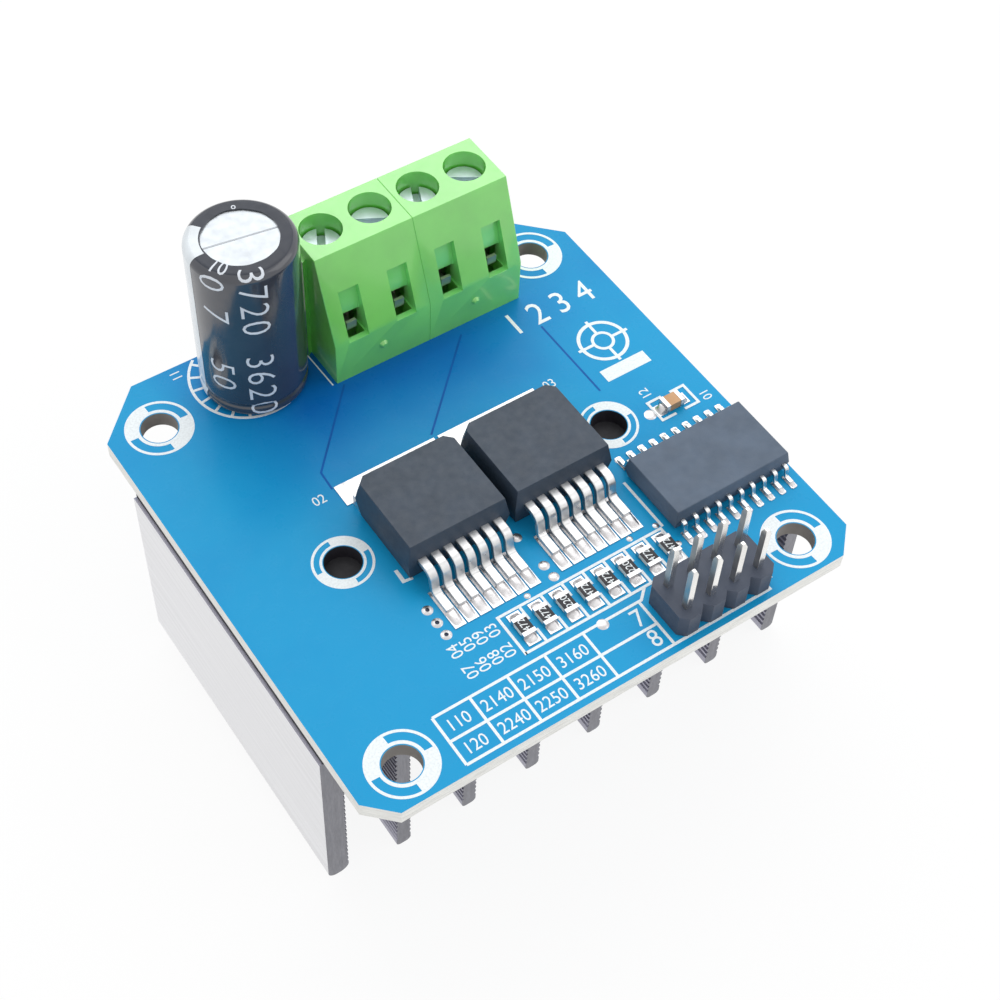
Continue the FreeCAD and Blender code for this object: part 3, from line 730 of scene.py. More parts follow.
class DRIVERBOARD_OT_board(bpy.types.Operator):
    """Finishes the laminate, its mask, its cut edges and the thermal pad"""

    bl_idname = "driver_board.board"
    bl_label = "Board"

    # from the middle of a hole, within which an upright face is its wall
    wall_reach = 2.1

    def execute(self, context):
        def board_faces(middles, normals):
            """Three for a corner hole's wall, two for an inner one's, which takes painted shade, one for
            an edge, nought for mask.
            """
            upright = np.abs(normals[:, 2]) < 0.5
            places = middles[:, :2]
            corner = np.linalg.norm(np.abs(places) - HOLE_SPACING / 2, axis=1) < self.wall_reach
            from_inner = [np.linalg.norm(places - hole, axis=1) for hole in INNER_HOLES]
            inner = np.min(from_inner, axis=0) < self.wall_reach
            return np.where(upright & corner, 3, np.where(upright & inner, 2, upright))

        drilled = plastic("drilled_wall", shade(132, 128, 124), 0.7)
        # The inner holes' walls are near black: painted shade deep in the holes.
        dark = plastic("shaded_hole_wall", shade(40, 38, 46), 0.7)
        finishes = (mask_finish(), laminate_edge_finish(), dark, drilled)
        finish_node("circuit_board", *finishes, choice=board_faces)
        finish_node("thermal_pad", plastic("thermal_pad", shade(48, 48, 52), 0.75, grain=3, relief=0.04))
        return {"FINISHED"}


class DRIVERBOARD_OT_hole_rings(bpy.types.Operator):
    """Prints the rings and filled quarters round the six mounting holes"""

    bl_idname = "driver_board.hole_rings"
    bl_label = "Hole rings"

    # inner and outer radius of the two circles
    corner_circles = ((1.8, 2.12), (2.88, 3.14))
    inner_circles = ((1.78, 2.02), (2.52, 2.76))

    def execute(self, context):
        shapes = []
        half = HOLE_SPACING / 2
        for x in (-half, half):
            for y in (-half, half):
                shapes += self.target((x, y), self.corner_circles, (90, 270))
        for place in INNER_HOLES:
            shapes += self.target(place, self.inner_circles, (0, 180))
        add_piece("hole_rings", joined(shapes), ink_finish())
        return {"FINISHED"}

    def target(self, center, circles, quarters):
        """Two circles, and two opposite quarters filled between them."""
        shapes = [ring(center, circle, ink_heights()) for circle in circles]
        filled = (circles[0][1], circles[1][0])
        for start in quarters:
            shapes.append(ring(center, filled, ink_heights(), (start, start + 90)))
        return shapes


class DRIVERBOARD_OT_lines(bpy.types.Operator):
    """Prints the table, the frames round the parts and the mask's thin gaps"""

    bl_idname = "driver_board.lines"
    bl_label = "Lines"

    # x of the table's upright lines and y of its level ones, and where the lowest one ends
    table_columns = (-16.1, -12.5, -8.8, -5.05, -1.1, 4.75)
    table_rows = (-18.15, -20.75, -23.2)
    table_end, table_stop = 15.05, -22.85
    header_corner = ((5.05, -18.15), (6.15, -17.15))
    # each from left to right, and from low to high
    resistor_frame = ((-6.25, 11.0), (-17.2, -13.05))
    ceramic_frame = ((18.6, 22.75), (-3.4, -1.05))
    short_lines = (
        ((16.35, -20.95), (15.85, -22.35)),
        ((11.3, -7.25), (11.3, -12.95)),
        ((-10.85, -4.3), (-10.9, -5.65), (-10.0, -5.75)),
    )
    # a thinner line beside the left terminal
    terminal_line, terminal_share = ((-4.58, 16.3), (-4.7, 20.7)), 0.5
    # the capacitor's circle stays this far from the board's edge
    board_margin = 0.2
    capacitor_circle = ((-10.55, 21.79), 5.3)
    # the azimuths of the strokes inside the circle, and how far in they start and how long they are
    strokes = range(136, 262, 18)
    stroke_start, stroke_length = 1.1, 1.05
    # a cross in two circles, with a bar below it
    cross_center = (19.75, 7.45)
    cross_circles = ((2.15, 2.5), (0.85, 1.15))
    cross_arm, cross_arm_width = 1.95, 0.3
    cross_bar, cross_bar_width = ((17.15, 3.72), (22.15, 3.72)), 1.45
    # the thin lines without copper between two areas of it
    gaps = (
        ((-3.65, 15.85), (-10.75, 8.15), (-10.85, 6.05)),
        ((8.85, 15.25), (-0.15, 6.55)),
        ((15.85, 2.55), (15.85, 12.05)),
    )
    gap_width = 0.2
    # how far the frame round the resistors runs on past its first corner
    corner_lap = 0.13
    resistor_pitch = 2.185
    # half of the openings in the boxes round the resistors and round the ceramic capacitor
    resistor_opening, ceramic_opening = 0.55, 0.5

    def execute(self, context):
        ink = ink_finish()
        paths = self.table_paths() + list(self.short_lines) + self.resistor_paths() + self.ceramic_paths()
        width = settings().ink.line_width / MM
        shapes = [bar(path, width, ink_heights(order)) for order, path in enumerate(paths)]
        shapes.append(bar(self.terminal_line, self.terminal_share * width, ink_heights()))
        shapes += self.capacitor_shapes(width) + self.cross_shapes()
        add_piece("printed_lines", joined(shapes), ink)
        deep = plastic("mask_gap", shade(10, 88, 166), 0.35, gloss=0.12)
        shapes = [bar(path, self.gap_width, COPPER_GAP) for path in self.gaps]
        add_piece("mask_gaps", joined(shapes), deep)
        return {"FINISHED"}

    def table_paths(self):
        """The lines of the table beside the header."""
        top, middle, bottom = self.table_rows
        left, right = self.table_columns[0], self.table_columns[-1]
        paths = [[(x, top), (x, bottom)] for x in self.table_columns]
        paths.append([(left, top), self.header_corner[0], self.header_corner[1]])
        paths.append([(left, middle), (right, middle)])
        paths.append([(left, bottom), (self.table_end, bottom), (self.table_end, self.table_stop)])
        return paths

    def capacitor_shapes(self, width):
        """The circle round the capacitor, open at the board's edge, with short strokes inside it."""
        center, radius = self.capacitor_circle
        edge_y = node_box("circuit_board")[1][1] - self.board_margin
        edge = math.degrees(math.asin((edge_y - center[1]) / radius))
        radii = (radius - width / 2, radius + width / 2)
        shapes = [ring(center, radii, ink_heights(), (180 - edge, 360 + edge))]
        for turn in self.strokes:
            direction = np.array([math.cos(math.radians(turn)), math.sin(math.radians(turn))])
            start = np.array(center) + direction * (radius - self.stroke_start)
            shapes.append(bar([start, start + direction * self.stroke_length], width, ink_heights(2)))
        return shapes

    def cross_shapes(self):
        """The bar, the two circles and the cross."""
        shapes = [bar(self.cross_bar, self.cross_bar_width, ink_heights())]
        shapes += [ring(self.cross_center, radii, ink_heights()) for radii in self.cross_circles]
        inner = self.cross_circles[1][0]
        for direction in ((1, 0), (0, 1), (-1, 0), (0, -1)):
            start = np.array(self.cross_center) + inner * np.array(direction)
            end = start + self.cross_arm * np.array(direction)
            shapes.append(bar([start, end], self.cross_arm_width, ink_heights(2)))
        return shapes

    def resistor_paths(self):
        """The frame round the row of resistors, with a broken box round each."""
        (left, right), (low, high) = self.resistor_frame
        paths = [[(left, low), (right, low), (right, high), (left, high), (left, low - self.corner_lap)]]
        middle = (low + high) / 2
        for place in RESISTORS[:-1]:
            x = left + self.resistor_pitch * place
            paths.append([(x, high), (x, middle + self.resistor_opening)])
            paths.append([(x, middle - self.resistor_opening), (x, low)])
        return paths

    def ceramic_paths(self):
        """The box round the ceramic capacitor, broken in the middle of its long sides."""
        (left, right), (low, high) = self.ceramic_frame
        middle, gap = (left + right) / 2, self.ceramic_opening
        return [
            [(middle - gap, high), (left, high), (left, low), (middle - gap, low)],
            [(middle + gap, high), (right, high), (right, low), (middle + gap, low)],
        ]


class DRIVERBOARD_OT_numbers(bpy.types.Operator):
    """Prints plain numbers in the table and beside the parts"""

    bl_idname = "driver_board.numbers"
    bl_label = "Numbers"

    squeeze = 0.9
    # text, place, height and turn
    labels = (
        ("110", (-14.3, -19.5), 1.15, 0), ("2140", (-10.65, -19.5), 1.15, 0),
        ("2150", (-6.95, -19.5), 1.15, 0), ("3160", (-3.05, -19.5), 1.15, 0),
        ("120", (-14.3, -21.98), 1.15, 0), ("2240", (-10.65, -21.98), 1.15, 0),
        ("2250", (-6.95, -21.98), 1.15, 0), ("3260", (-3.05, -21.98), 1.15, 0),
        ("7", (3.75, -19.45), 1.7, 0), ("8", (3.7, -21.8), 1.7, 0),
        ("02", (-12.45, 5.65), 1.0, 0), ("03", (12.3, 5.75), 1.0, 0), ("1", (-10.75, -5.05), 1.5, 0),
        ("04", (-11.05, -13.85), 1.1, 90), ("05", (-9.8, -13.85), 1.1, 90),
        ("09", (-8.55, -13.85), 1.1, 90), ("03", (-7.3, -13.85), 1.1, 90),
        ("07", (-11.05, -16.15), 1.1, 90), ("06", (-9.8, -16.15), 1.1, 90),
        ("08", (-8.55, -16.15), 1.1, 90), ("02", (-7.3, -16.15), 1.1, 90),
        ("1 2 3 4", (18.15, 13.65), 2.7, 0),
        ("12", (19.15, 0.15), 0.95, 90), ("01", (23.85, -3.15), 0.95, 90),
        ("11", (-16.15, 25.0), 0.95, 90),
    )

    def execute(self, context):
        shapes = []
        for text, place, height, turn in self.labels:
            shapes.append(laid(number(text, height, self.squeeze), place, turn, ink_heights()))
        add_piece("printed_numbers", joined(shapes), ink_finish())
        return {"FINISHED"}


class DRIVERBOARD_OT_vias(bpy.types.Operator):
    """Adds the tinned rings and the small dots of the vias, with painted shade in the rings' holes"""

    bl_idname = "driver_board.vias"
    bl_label = "Vias"

    rings = ((-10.75, -9.2), (-10.75, -10.7), (-10.75, -12.1))
    dots = ((8.05, -12.45), (-2.85, -12.55), (10.85, -12.55), (11.35, -15.15), (12.35, -4.95))
    blobs = (
        ((0.85, -18.35), 0.55), ((18.05, -2.25), 0.6), ((-0.15, -7.05), 0.48), ((0.15, -10.75), 0.5),
        ((0.2, -12.15), 0.48),
    )
    ring_radius, ring_bore, bore_depth, plug_radius, dot_radius = 0.5, 0.19, 0.2, 0.2, 0.3
    ring_height, plug_height, dot_height, blob_height = 0.1, 0.03, 0.08, 0.12

    def execute(self, context):
        ring_size = (self.ring_radius, self.ring_height, self.ring_bore)
        shapes = [self.dome(place, *ring_size) for place in self.rings]
        shapes += [self.dome(place, self.dot_radius, self.dot_height) for place in self.dots]
        shapes += [self.dome(place, radius, self.blob_height) for place, radius in self.blobs]
        add_piece("vias", joined(shapes), solder_finish())
        # A dark disc lies in each ring's bore: painted shade standing in for the open hole.
        plug = plastic("via_hole_shade", shade(30, 44, 70), 0.6)
        hole_shades = [self.dome(place, self.plug_radius, self.plug_height) for place in self.rings]
        add_piece("via_hole_shades", joined(hole_shades), plug)
        return {"FINISHED"}

    def dome(self, center, radius, height, bore=0):
        """A low dome, whose height falls off as one less the square of the radius. With a bore, its
        middle is sunk into the board."""
        reach = np.linspace(1, 0.02, 8)
        profile = np.column_stack([radius * reach, height * (1 - reach ** 2)])
        if bore:
            profile[-2:, 1] = -self.bore_depth
            profile[-3:, 0] = bore
        points, rows, steps = lathe(profile, center, 24)
        return points, grid_faces(rows, steps, wrap_columns=True)


# The heatsink

class DRIVERBOARD_OT_heatsink(bpy.types.Operator):
    """Finishes the heatsink: drawn skin along the fins and sawn ends"""

    bl_idname = "driver_board.heatsink"
    bl_label = "Heatsink"

    # from the heatsink's sides, within which a face belongs to its outer skin
    outer_reach = 1.3
    # the grain's lines lie along the fins, and stand upright on the sawn ends
    drawn, sawn = (3, 0.05, 3), (4, 1, 0.5)

    def execute(self, context):
        colour = tuple(settings().metal.aluminium)
        skin = metal("extruded_skin", colour, 0.38, 1.6, 0.008, stretch=self.drawn, stained=0.95)
        # The fins inside take a darker, bluer aluminium: painted shade between the fins.
        ribbed = shade(170, 169, 182)
        inner = metal("shaded_fin_skin", ribbed, 0.42, 1.6, 0.01, stretch=self.drawn, stained=0.92)
        cut = metal("sawn_end", shade(146, 146, 152), 0.5, 2.5, 0.03, stretch=self.sawn)
        low, high = node_box("heatsink")

        def heatsink_faces(middles, normals):
            """Two for the sawn ends, nought for the outer skin and one for the ribbed fins inside, which
            take painted shade.
            """
            outer = np.minimum(middles[:, 0] - low[0], high[0] - middles[:, 0]) < self.outer_reach
            ends = np.abs(normals[:, 1]) > 0.7
            return np.where(ends, 2, np.where(outer, 0, 1))

        finish_node("heatsink", skin, inner, cut, choice=heatsink_faces)
        return {"FINISHED"}


# The chips, the resistors and the ceramic capacitor

class DRIVERBOARD_OT_driver_chips(bpy.types.Operator):
    """Rounds the driver chips' mouldings and finishes their tabs and leads"""

    bl_idname = "driver_board.driver_chips"
    bl_label = "Driver chips"

    def execute(self, context):
        colour = tuple(settings().plastic.package)
        moulding = plastic("package_moulding", colour, 0.55, grain=6, relief=0.015, gloss=0.55)
        tin = metal("tinned_leads", tuple(settings().metal.tin), 0.33, grain=1.5, relief=0.006)
        for side in ("left", "right"):
            body = "driver_%s_body" % side
            rounded_copy(body, "driver_%s_moulding" % side, 0.12, moulding)
            finish_node("driver_%s_tab" % side, tin)
            rounded_copy("driver_%s_leads" % side, "driver_%s_lead_frame" % side, 0.1, tin)
        return {"FINISHED"}


class DRIVERBOARD_OT_logic_chip(bpy.types.Operator):
    """Rounds the logic chip's moulding and finishes its leads"""

    bl_idname = "driver_board.logic_chip"
    bl_label = "Logic chip"

    def execute(self, context):
        colour = tuple(settings().plastic.logic)
        moulding = plastic("logic_moulding", colour, 0.55, grain=6, relief=0.015, gloss=0.4)
        tin = metal("logic_leads", tuple(settings().metal.tin), 0.25, grain=2, relief=0.01)
        rounded_copy("logic_chip_body", "logic_chip_moulding", 0.1, moulding)
        rounded_copy("logic_chip_leads", "logic_lead_frame", 0.05, tin)
        return {"FINISHED"}


class DRIVERBOARD_OT_chip_parts(bpy.types.Operator):
    """Finishes the resistors and the ceramic capacitor, and prints the resistors' numbers"""

    bl_idname = "driver_board.chip_parts"
    bl_label = "Resistors and ceramic capacitor"

    codes = ("472", "472", "220", "472", "472", "220", "472", "472")
    # half of the length between the wrapped ends, and how far a face may miss that
    core_half, slack = 0.6, 0.01
    # the wrapped ends stand over the glaze, so a code's ink lies this far under their top
    code_height, code_squeeze, code_drop = 0.66, 0.95, (0.03, 0.015)

    def execute(self, context):
        core = self.core_half - self.slack
        glaze = plastic("resistor_glaze", shade(36, 36, 42), 0.35, grain=5, relief=0.01, gloss=0.3)
        alumina = plastic("resistor_alumina", shade(222, 220, 212), 0.5)
        tan = plastic("ceramic_tan", shade(196, 150, 104), 0.4, grain=5, relief=0.02)
        tin = solder_finish()
        digits = []
        for place, code in zip(RESISTORS, self.codes):
            node = "resistor_%d" % place
            middle = node_middle(node)
            top = node_box(node)[1][2]

            def resistor_faces(middles, normals, middle=middle):
                """Two for the wrapped ends, one for the bare sides and nought for the glaze on top."""
                ends = np.abs(middles[:, 1] - middle[1]) > core
                sides = normals[:, 2] < 0.5
                return np.where(ends, 2, np.where(sides, 1, 0))

            finish_node(node, glaze, alumina, tin, choice=resistor_faces)
            flat = number(code, self.code_height, self.code_squeeze)
            digits.append(laid(flat, middle[:2], 90, [top - drop for drop in self.code_drop]))
        add_piece("resistor_numbers", joined(digits), ink_finish())
        middle = node_middle("ceramic_capacitor")

        def ceramic_faces(middles, normals):
            """One for the wrapped ends, and nought for the body between them."""
            return np.abs(middles[:, 0] - middle[0]) > core

        finish_node("ceramic_capacitor", tan, tin, choice=ceramic_faces)
        return {"FINISHED"}


# The electrolytic capacitor

class DRIVERBOARD_OT_capacitor(bpy.types.Operator):
    """Shapes the capacitor's sleeve as one smooth skin, with its stripe and numbers"""

    bl_idname = "driver_board.capacitor"
    bl_label = "Electrolytic capacitor"

    rim_radius, foot_radius, wall = 0.8, 0.4, 0.12
    # the radii of the sleeve's openings, over the can's end and under its foot
    window, under = 3.38, 3.63
    crimp_height, crimp_half, crimp_depth = 1.5, 0.45, 0.16
    # how far the shrunk lip reaches out from the window and down, and the size, the count round the
    # window and the phase of each wave in it
    lip_reach, lip_depth = 0.7, 1.0
    lip_waves = ((0.03, 5, 0), (0.015, 13, 1))
    # the stripe's azimuths, its distance from the window, and how far it lies over and in the skin
    stripe, stripe_start, stripe_lift, stripe_sink = (130, 182), 0.1, 0.012, 0.02
    # the ink's thickness, how far it starts in the skin, and the steps in which it bends
    ink_depth, ink_sink, bend_step = 0.022, 0.01, 0.2
    # text, azimuth, height on the sleeve and size of the large numbers
    column_numbers = (
        ("3720", 252, 14.9, 2.5), ("3620", 252, 4.3, 2.5),
        ("0", 210, 16.9, 2.4), ("7", 211, 13.1, 2.4), ("50", 211, 5.3, 2.4),
    )
    rim_numbers = (("10", 215, 18.75, 1.5), ("8", 70, 19.2, 0.9))
    back_drop = 2.3
    # azimuth and strength of the vent's scored lines, and their half widths at full strength and none
    vent_lines = ((-9, 0.8), (81, 0.15))
    vent_halves = (0.03, 0.1)

    def execute(self, context):
        low, high = node_box("capacitor_sleeve")
        self.center = ((low + high) / 2)[:2]
        self.radius = (high[0] - low[0]) / 2
        self.bottom, self.top = low[2], high[2]
        colour = tuple(settings().plastic.sleeve)
        sleeve = plastic("shrink_sleeve", colour, 0.17, grain=0.5, relief=0.012, coat=0.65, gloss=0.6)
        skin = self.skin_profile(0)
        lining = self.skin_profile(self.wall)[::-1]
        points, rows, steps = lathe(np.concatenate([skin, lining]), self.center)
        points = self.waved(points)
        shape = points, grid_faces(rows, steps, wrap_rows=True, wrap_columns=True)
        piece = add_piece("sleeve_skin", shape, sleeve)
        # The flat top takes a duller copy of the sleeve with a darker colour. The duller gloss is its
        # finish, and the darker colour is painted shade.
        shrunk = plastic("sleeve_top_shaded", shade(44, 49, 60), 0.4, grain=0.5, relief=0.015, gloss=0.35)
        piece.data.materials.append(shrunk)
        pick_materials(piece.data, lambda middles, normals: normals[:, 2] > 0.9)
        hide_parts("capacitor_sleeve")
        self.add_stripe(skin)
        self.add_numbers(skin)
        self.finish_can()
        return {"FINISHED"}

    def skin_profile(self, inset):
        """Radius and height from the window over the rim, down the side, in at the crimp and round
        the foot: straight runs with quarter circles, and a half wave of sine squared at the crimp."""
        radius, top, bottom = self.radius - inset, self.top - inset, self.bottom + inset
        rim, foot = self.rim_radius - inset, self.foot_radius - inset
        turn = np.radians(np.linspace(90, 0, 13))
        over_rim = np.column_stack([radius - rim + rim * np.cos(turn), top - rim + rim * np.sin(turn)])
        t = np.linspace(0, 1, 17)
        crimp_z = self.crimp_height + self.crimp_half * (1 - 2 * t)
        crimp = np.column_stack([radius - self.crimp_depth * np.sin(np.pi * t) ** 2, crimp_z])
        foot_z = bottom + foot - foot * np.sin(turn[::-1])
        round_foot = np.column_stack([radius - foot + foot * np.cos(turn[::-1]), foot_z])
        lip = np.linspace(self.window, radius - rim - 0.05, 6)
        over_top = np.column_stack([lip, np.full(len(lip), top)])
        side_z = np.linspace(top - rim, self.crimp_height + self.crimp_half, 12)[1:-1]
        side = np.column_stack([np.full(len(side_z), radius), side_z])
        return np.concatenate([over_top, over_rim, side, crimp, round_foot, [[self.under, bottom]]])

    def waved(self, points):
        """The shrunk lip: near the window its radius swings a little, as two sine waves."""
        offset = points[:, :2] - self.center
        reach = np.linalg.norm(offset, axis=1)
        angle = np.arctan2(offset[:, 1], offset[:, 0])
        near = np.clip((self.window + self.lip_reach - reach) / self.lip_reach, 0, 1)
        near = near * (points[:, 2] > self.top - self.lip_depth)
        swing = near * sum(size * np.sin(count * angle + phase) for size, count, phase in self.lip_waves)
        points[:, :2] += offset / reach[:, None] * swing[:, None]
        return points

    def outward(self, profile):
        """The direction square to a profile at each of its points, away from the can's inside."""
        along = np.gradient(profile, axis=0)
        square = np.column_stack([-along[:, 1], along[:, 0]])
        return square / np.linalg.norm(square, axis=1, keepdims=True)

    def add_stripe(self, skin):
        """The pale stripe: the skin's own profile, offset along its normals, over a range of angles."""
        kept = skin[skin[:, 0] > self.window + self.stripe_start][:-1]
        outer = kept + self.stripe_lift * self.outward(kept)
        angle = np.radians(np.linspace(*self.stripe, 30))
        loop = np.concatenate([outer, kept[::-1] - self.stripe_sink * self.outward(kept)[::-1]])
        x = self.center[0] + loop[:, 0][:, None] * np.cos(angle)
        y = self.center[1] + loop[:, 0][:, None] * np.sin(angle)
        z = np.broadcast_to(loop[:, 1][:, None], x.shape)
        points = np.stack([x, y, z], axis=-1).reshape(-1, 3)
        faces = grid_faces(len(loop), len(angle), wrap_rows=True)
        pale = plastic("stripe_ink", shade(218, 225, 230), 0.2, grain=0.5, relief=0.02, coat=0.3)
        add_piece("sleeve_stripe", (points, faces), pale)

    def add_numbers(self, skin):
        """Numbers that read down the sleeve, wrapped round it and over its rim."""
        ink = plastic("sleeve_ink", shade(216, 222, 230), 0.4)
        shapes = []
        for turn, drop in ((0, 0), (180, self.back_drop)):
            for text, angle, z, height in self.column_numbers:
                flat = number(text, height, weight=-0.012, spacing=1.12)
                shapes.append(self.wrapped(flat, skin, angle - turn, z - drop))
        for text, angle, z, height in self.rim_numbers:
            points, faces = number(text, height)
            upright = np.column_stack([-points[:, 1], points[:, 0], points[:, 2]])
            shapes.append(self.wrapped((upright, faces), skin, angle, z))
        add_piece("sleeve_numbers", joined(shapes), ink)

    def wrapped(self, shape, skin, angle, z):
        """Text turned to read downwards: its height becomes an arc round the can, and its length is
        measured down the skin's profile, so it bends over the rim with the sleeve."""
        points, faces = shape
        mesh = bpy.data.meshes.new("flat")
        mesh.from_pydata(points.tolist(), [], faces.tolist())
        cut = bmesh.new()
        cut.from_mesh(mesh)
        low, high = points.min(0), points.max(0)
        for side, normal in ((0, (1, 0, 0)), (1, (0, 1, 0))):
            for place in np.arange(low[side] + self.bend_step, high[side], self.bend_step):
                everything = cut.verts[:] + cut.edges[:] + cut.faces[:]
                point = Vector(normal) * place
                bmesh.ops.bisect_plane(cut, geom=everything, plane_co=point, plane_no=normal)
        bmesh.ops.triangulate(cut, faces=cut.faces)
        points = np.array([vert.co for vert in cut.verts])
        faces = np.array([[vert.index for vert in face.verts] for face in cut.faces])
        cut.free()
        bpy.data.meshes.remove(mesh)
        length = np.concatenate([[0], np.cumsum(np.linalg.norm(np.diff(skin, axis=0), axis=1))])
        side_top = np.interp(self.rim_radius - self.top, -skin[:, 1], length)
        down = side_top + (self.top - self.rim_radius) - (z - points[:, 0])
        rise = points[:, 2] * self.ink_depth - self.ink_sink
        square = self.outward(skin)
        reach = np.interp(down, length, skin[:, 0]) + rise * np.interp(down, length, square[:, 0])
        height = np.interp(down, length, skin[:, 1]) + rise * np.interp(down, length, square[:, 1])
        turn = math.radians(angle) + points[:, 1] / self.radius
        x = self.center[0] + reach * np.cos(turn)
        y = self.center[1] + reach * np.sin(turn)
        return np.column_stack([x, y, height]), faces

    def finish_can(self):
        """The can's bright end, scored with a line for its vent and a fainter one across it."""
        bright, worn = shade(183, 188, 192), shade(154, 158, 164)
        made = Finish("drawn_can", bright, 0.45, metallic=1.0)
        x, y, z = made.axes()
        along = made.math("ADD", x, -self.center[0])
        across = made.math("ADD", y, -self.center[1])
        groove = 0.0
        for turn, depth in self.vent_lines:
            sine, cosine = math.sin(math.radians(turn)), math.cos(math.radians(turn))
            parts = made.math("MULTIPLY", along, -sine), made.math("MULTIPLY", across, cosine)
            aside = made.math("ADD", *parts)
            line = made.ramp(made.math("ABSOLUTE", aside), self.vent_halves, (depth, 0))
            groove = made.math("MAXIMUM", line, groove)
        haze = made.ramp(made.noise(0.5, 4), NOISE_SPAN, (0, 0.3))
        made.colour(made.blend(made.math("MAXIMUM", groove, haze), bright, worn))
        made.uneven(made.noise(1.5, 4), 0.38, 0.5)
        made.bump(made.math("MULTIPLY", groove, -1.0), 0.6, 0.08)
        finish_node("capacitor_can", made.material)
        finish_node("capacitor_seal", plastic("seal_rubber", shade(34, 34, 36), 0.7))
        finish_node("capacitor_leads", metal("capacitor_leads", tuple(settings().metal.tin), 0.3))


# The screw terminals

# The places of their poles along x
POLES = row(4, 5.08, 6.0)


class DRIVERBOARD_OT_terminals(bpy.types.Operator):
    """Rounds the terminals' housings and finishes their screws, leaves and contacts"""

    bl_idname = "driver_board.terminals"
    bl_label = "Screw terminals"

    # half of a notch's width, the heights in its side view, and how far in from the front each part
    # of it reaches
    notch_half = 1.05
    notch_low, window_top, wall_top, notch_high = 4.7, 6.75, 7.45, 9.65
    window_reach, wall_reach, notch_reach = 3.2, 2.0, 2.75
    # the front is upright up to the band's top, and leans back above it
    band_height, slope = 4.8, 3.1 / 8.5
    # how far a face may miss a notch's walls, and how far in it lies from the sloped front
    slack, rebate = 0.02, 0.08
    # from the left terminal's outer end, within which a face that looks that way belongs to it and takes
    # painted shade
    end_depth = 0.3

    def execute(self, context):
        outside = self.moulding("terminal_moulding", tuple(settings().plastic.terminal))
        # The notches take a copy of the moulding tinted for their light and shade. The end beside the
        # capacitor takes a copy at six tenths of the colour, which is painted shade.
        inside = self.moulding("terminal_notch_shade", tuple(settings().plastic.terminal_notch_shade))
        shaded = self.moulding("terminal_end_shade", scaled(settings().plastic.terminal, 0.6))
        for side, centers in (("left", POLES[:2]), ("right", POLES[2:])):
            node, name = "terminal_%s_housing" % side, "terminal_%s_moulding" % side
            front = node_box(node)[0][1]
            notches = joined([self.notch(x, front) for x in centers])
            faces = partial(self.housing_faces, centers, front)
            rounded_copy(node, name, 0.05, outside, (inside, shaded), faces, notches)
        zinc = metal("zinc_plate", shade(222, 232, 242), 0.42, grain=0.8, relief=0.01, metallic=0.7)
        rounded_copy("terminal_screws", "clamp_screws", 0.1, zinc)
        finish_node("terminal_leaves", metal("spring_leaf", shade(164, 168, 154), 0.45, grain=1.2))
        finish_node("terminal_contacts", metal("contact_plate", shade(150, 146, 138), 0.35))
        return {"FINISHED"}

    def moulding(self, name, colour):
        """Glossy, slightly clear moulded plastic."""
        made = Finish(name, colour, 0.36, coat=1.0, gloss=1.0)
        made.tones(made.noise(0.25, 3), MIDDLE_SPAN, scaled(colour, 0.94), scaled(colour, 1.05))
        made.uneven(made.noise(1.2), 0.32, 0.45)
        made.bump(made.noise(5.0, 2), 0.35, 0.015)
        made.shader.inputs["IOR"].default_value = 1.55
        made.shader.inputs["Subsurface Weight"].default_value = 0.15
        made.shader.inputs["Subsurface Radius"].default_value = (0.4, 0.8, 0.3)
        made.shader.inputs["Subsurface Scale"].default_value = 1.0 * MM
        return made.material

    def housing_faces(self, centers, front, middles, normals):
        """One for the faces inside the notches, behind the sloped front, which take a tone painted for
        their light and shade, and two for the end beside the capacitor, which takes painted shade."""
        x, y, z = middles.T
        left = node_box("terminal_left_housing")[0][0]
        end = (x < left + self.end_depth) & (normals[:, 0] < -0.9)
        beside = np.min(np.abs(x[:, None] - np.array(centers)), axis=1) < self.notch_half + self.slack
        between = (z > self.notch_low - self.slack) & (z < self.notch_high + self.slack)
        surface = front + np.maximum(0, z - self.band_height) * self.slope
        notch = beside & between & (y > surface + self.rebate) & (y < front + self.window_reach)
        return np.where(end, 2, notch)

    def notch(self, x, front):
        """The notch before a pole: a prism along x. Its side view is deep at the window, steps out in
        front of the cavity's wall, and leans back above it along the slope of the housing."""
        side = [(-1, self.notch_low), (self.window_reach, self.notch_low),
                (self.window_reach, self.window_top), (self.wall_reach, self.window_top),
                (self.wall_reach, self.wall_top), (self.notch_reach, self.notch_high),
                (self.wall_reach, self.notch_high), (-1, self.notch_high)]
        count = len(side)
        points = [(x + end * self.notch_half, front + y, z) for end in (-1, 1) for y, z in side]
        here = np.arange(count)
        after = (here + 1) % count
        walls = np.column_stack([here, here + count, after + count, after])
        fans = [(0, 1, 2, 3), (0, 3, 4, 7), (4, 5, 6, 7)]
        caps = fans + [tuple(count + place for place in reversed(fan)) for fan in fans]
        return np.array(points), np.concatenate([walls, caps])


# The pin header

class DRIVERBOARD_OT_header(bpy.types.Operator):
    """Rounds the header's bar and finishes its pins"""

    bl_idname = "driver_board.header"
    bl_label = "Pin header"

    def execute(self, context):
        colour = tuple(settings().plastic.header)
        moulding = plastic("header_bar", colour, 0.5, grain=4, relief=0.01, gloss=0.4)
        rounded_copy("header_housing", "header_bar", 0.07, moulding)
        pin = metal("header_pins", shade(244, 243, 240), 0.2, grain=1.5, relief=0.004, stretch=(1, 1, 0.2))
        sheared = metal("sheared_pins", shade(206, 203, 198), 0.36, grain=2.5, relief=0.01)

        def sheared_faces(middles, normals):
            """One for the two sheared sides of each pin, and nought for the rolled ones."""
            return np.abs(normals[:, 0]) > 0.7

        rounded_copy("header_pins", "square_pins", 0.05, pin, (sheared,), sheared_faces)
        return {"FINISHED"}


# The solder

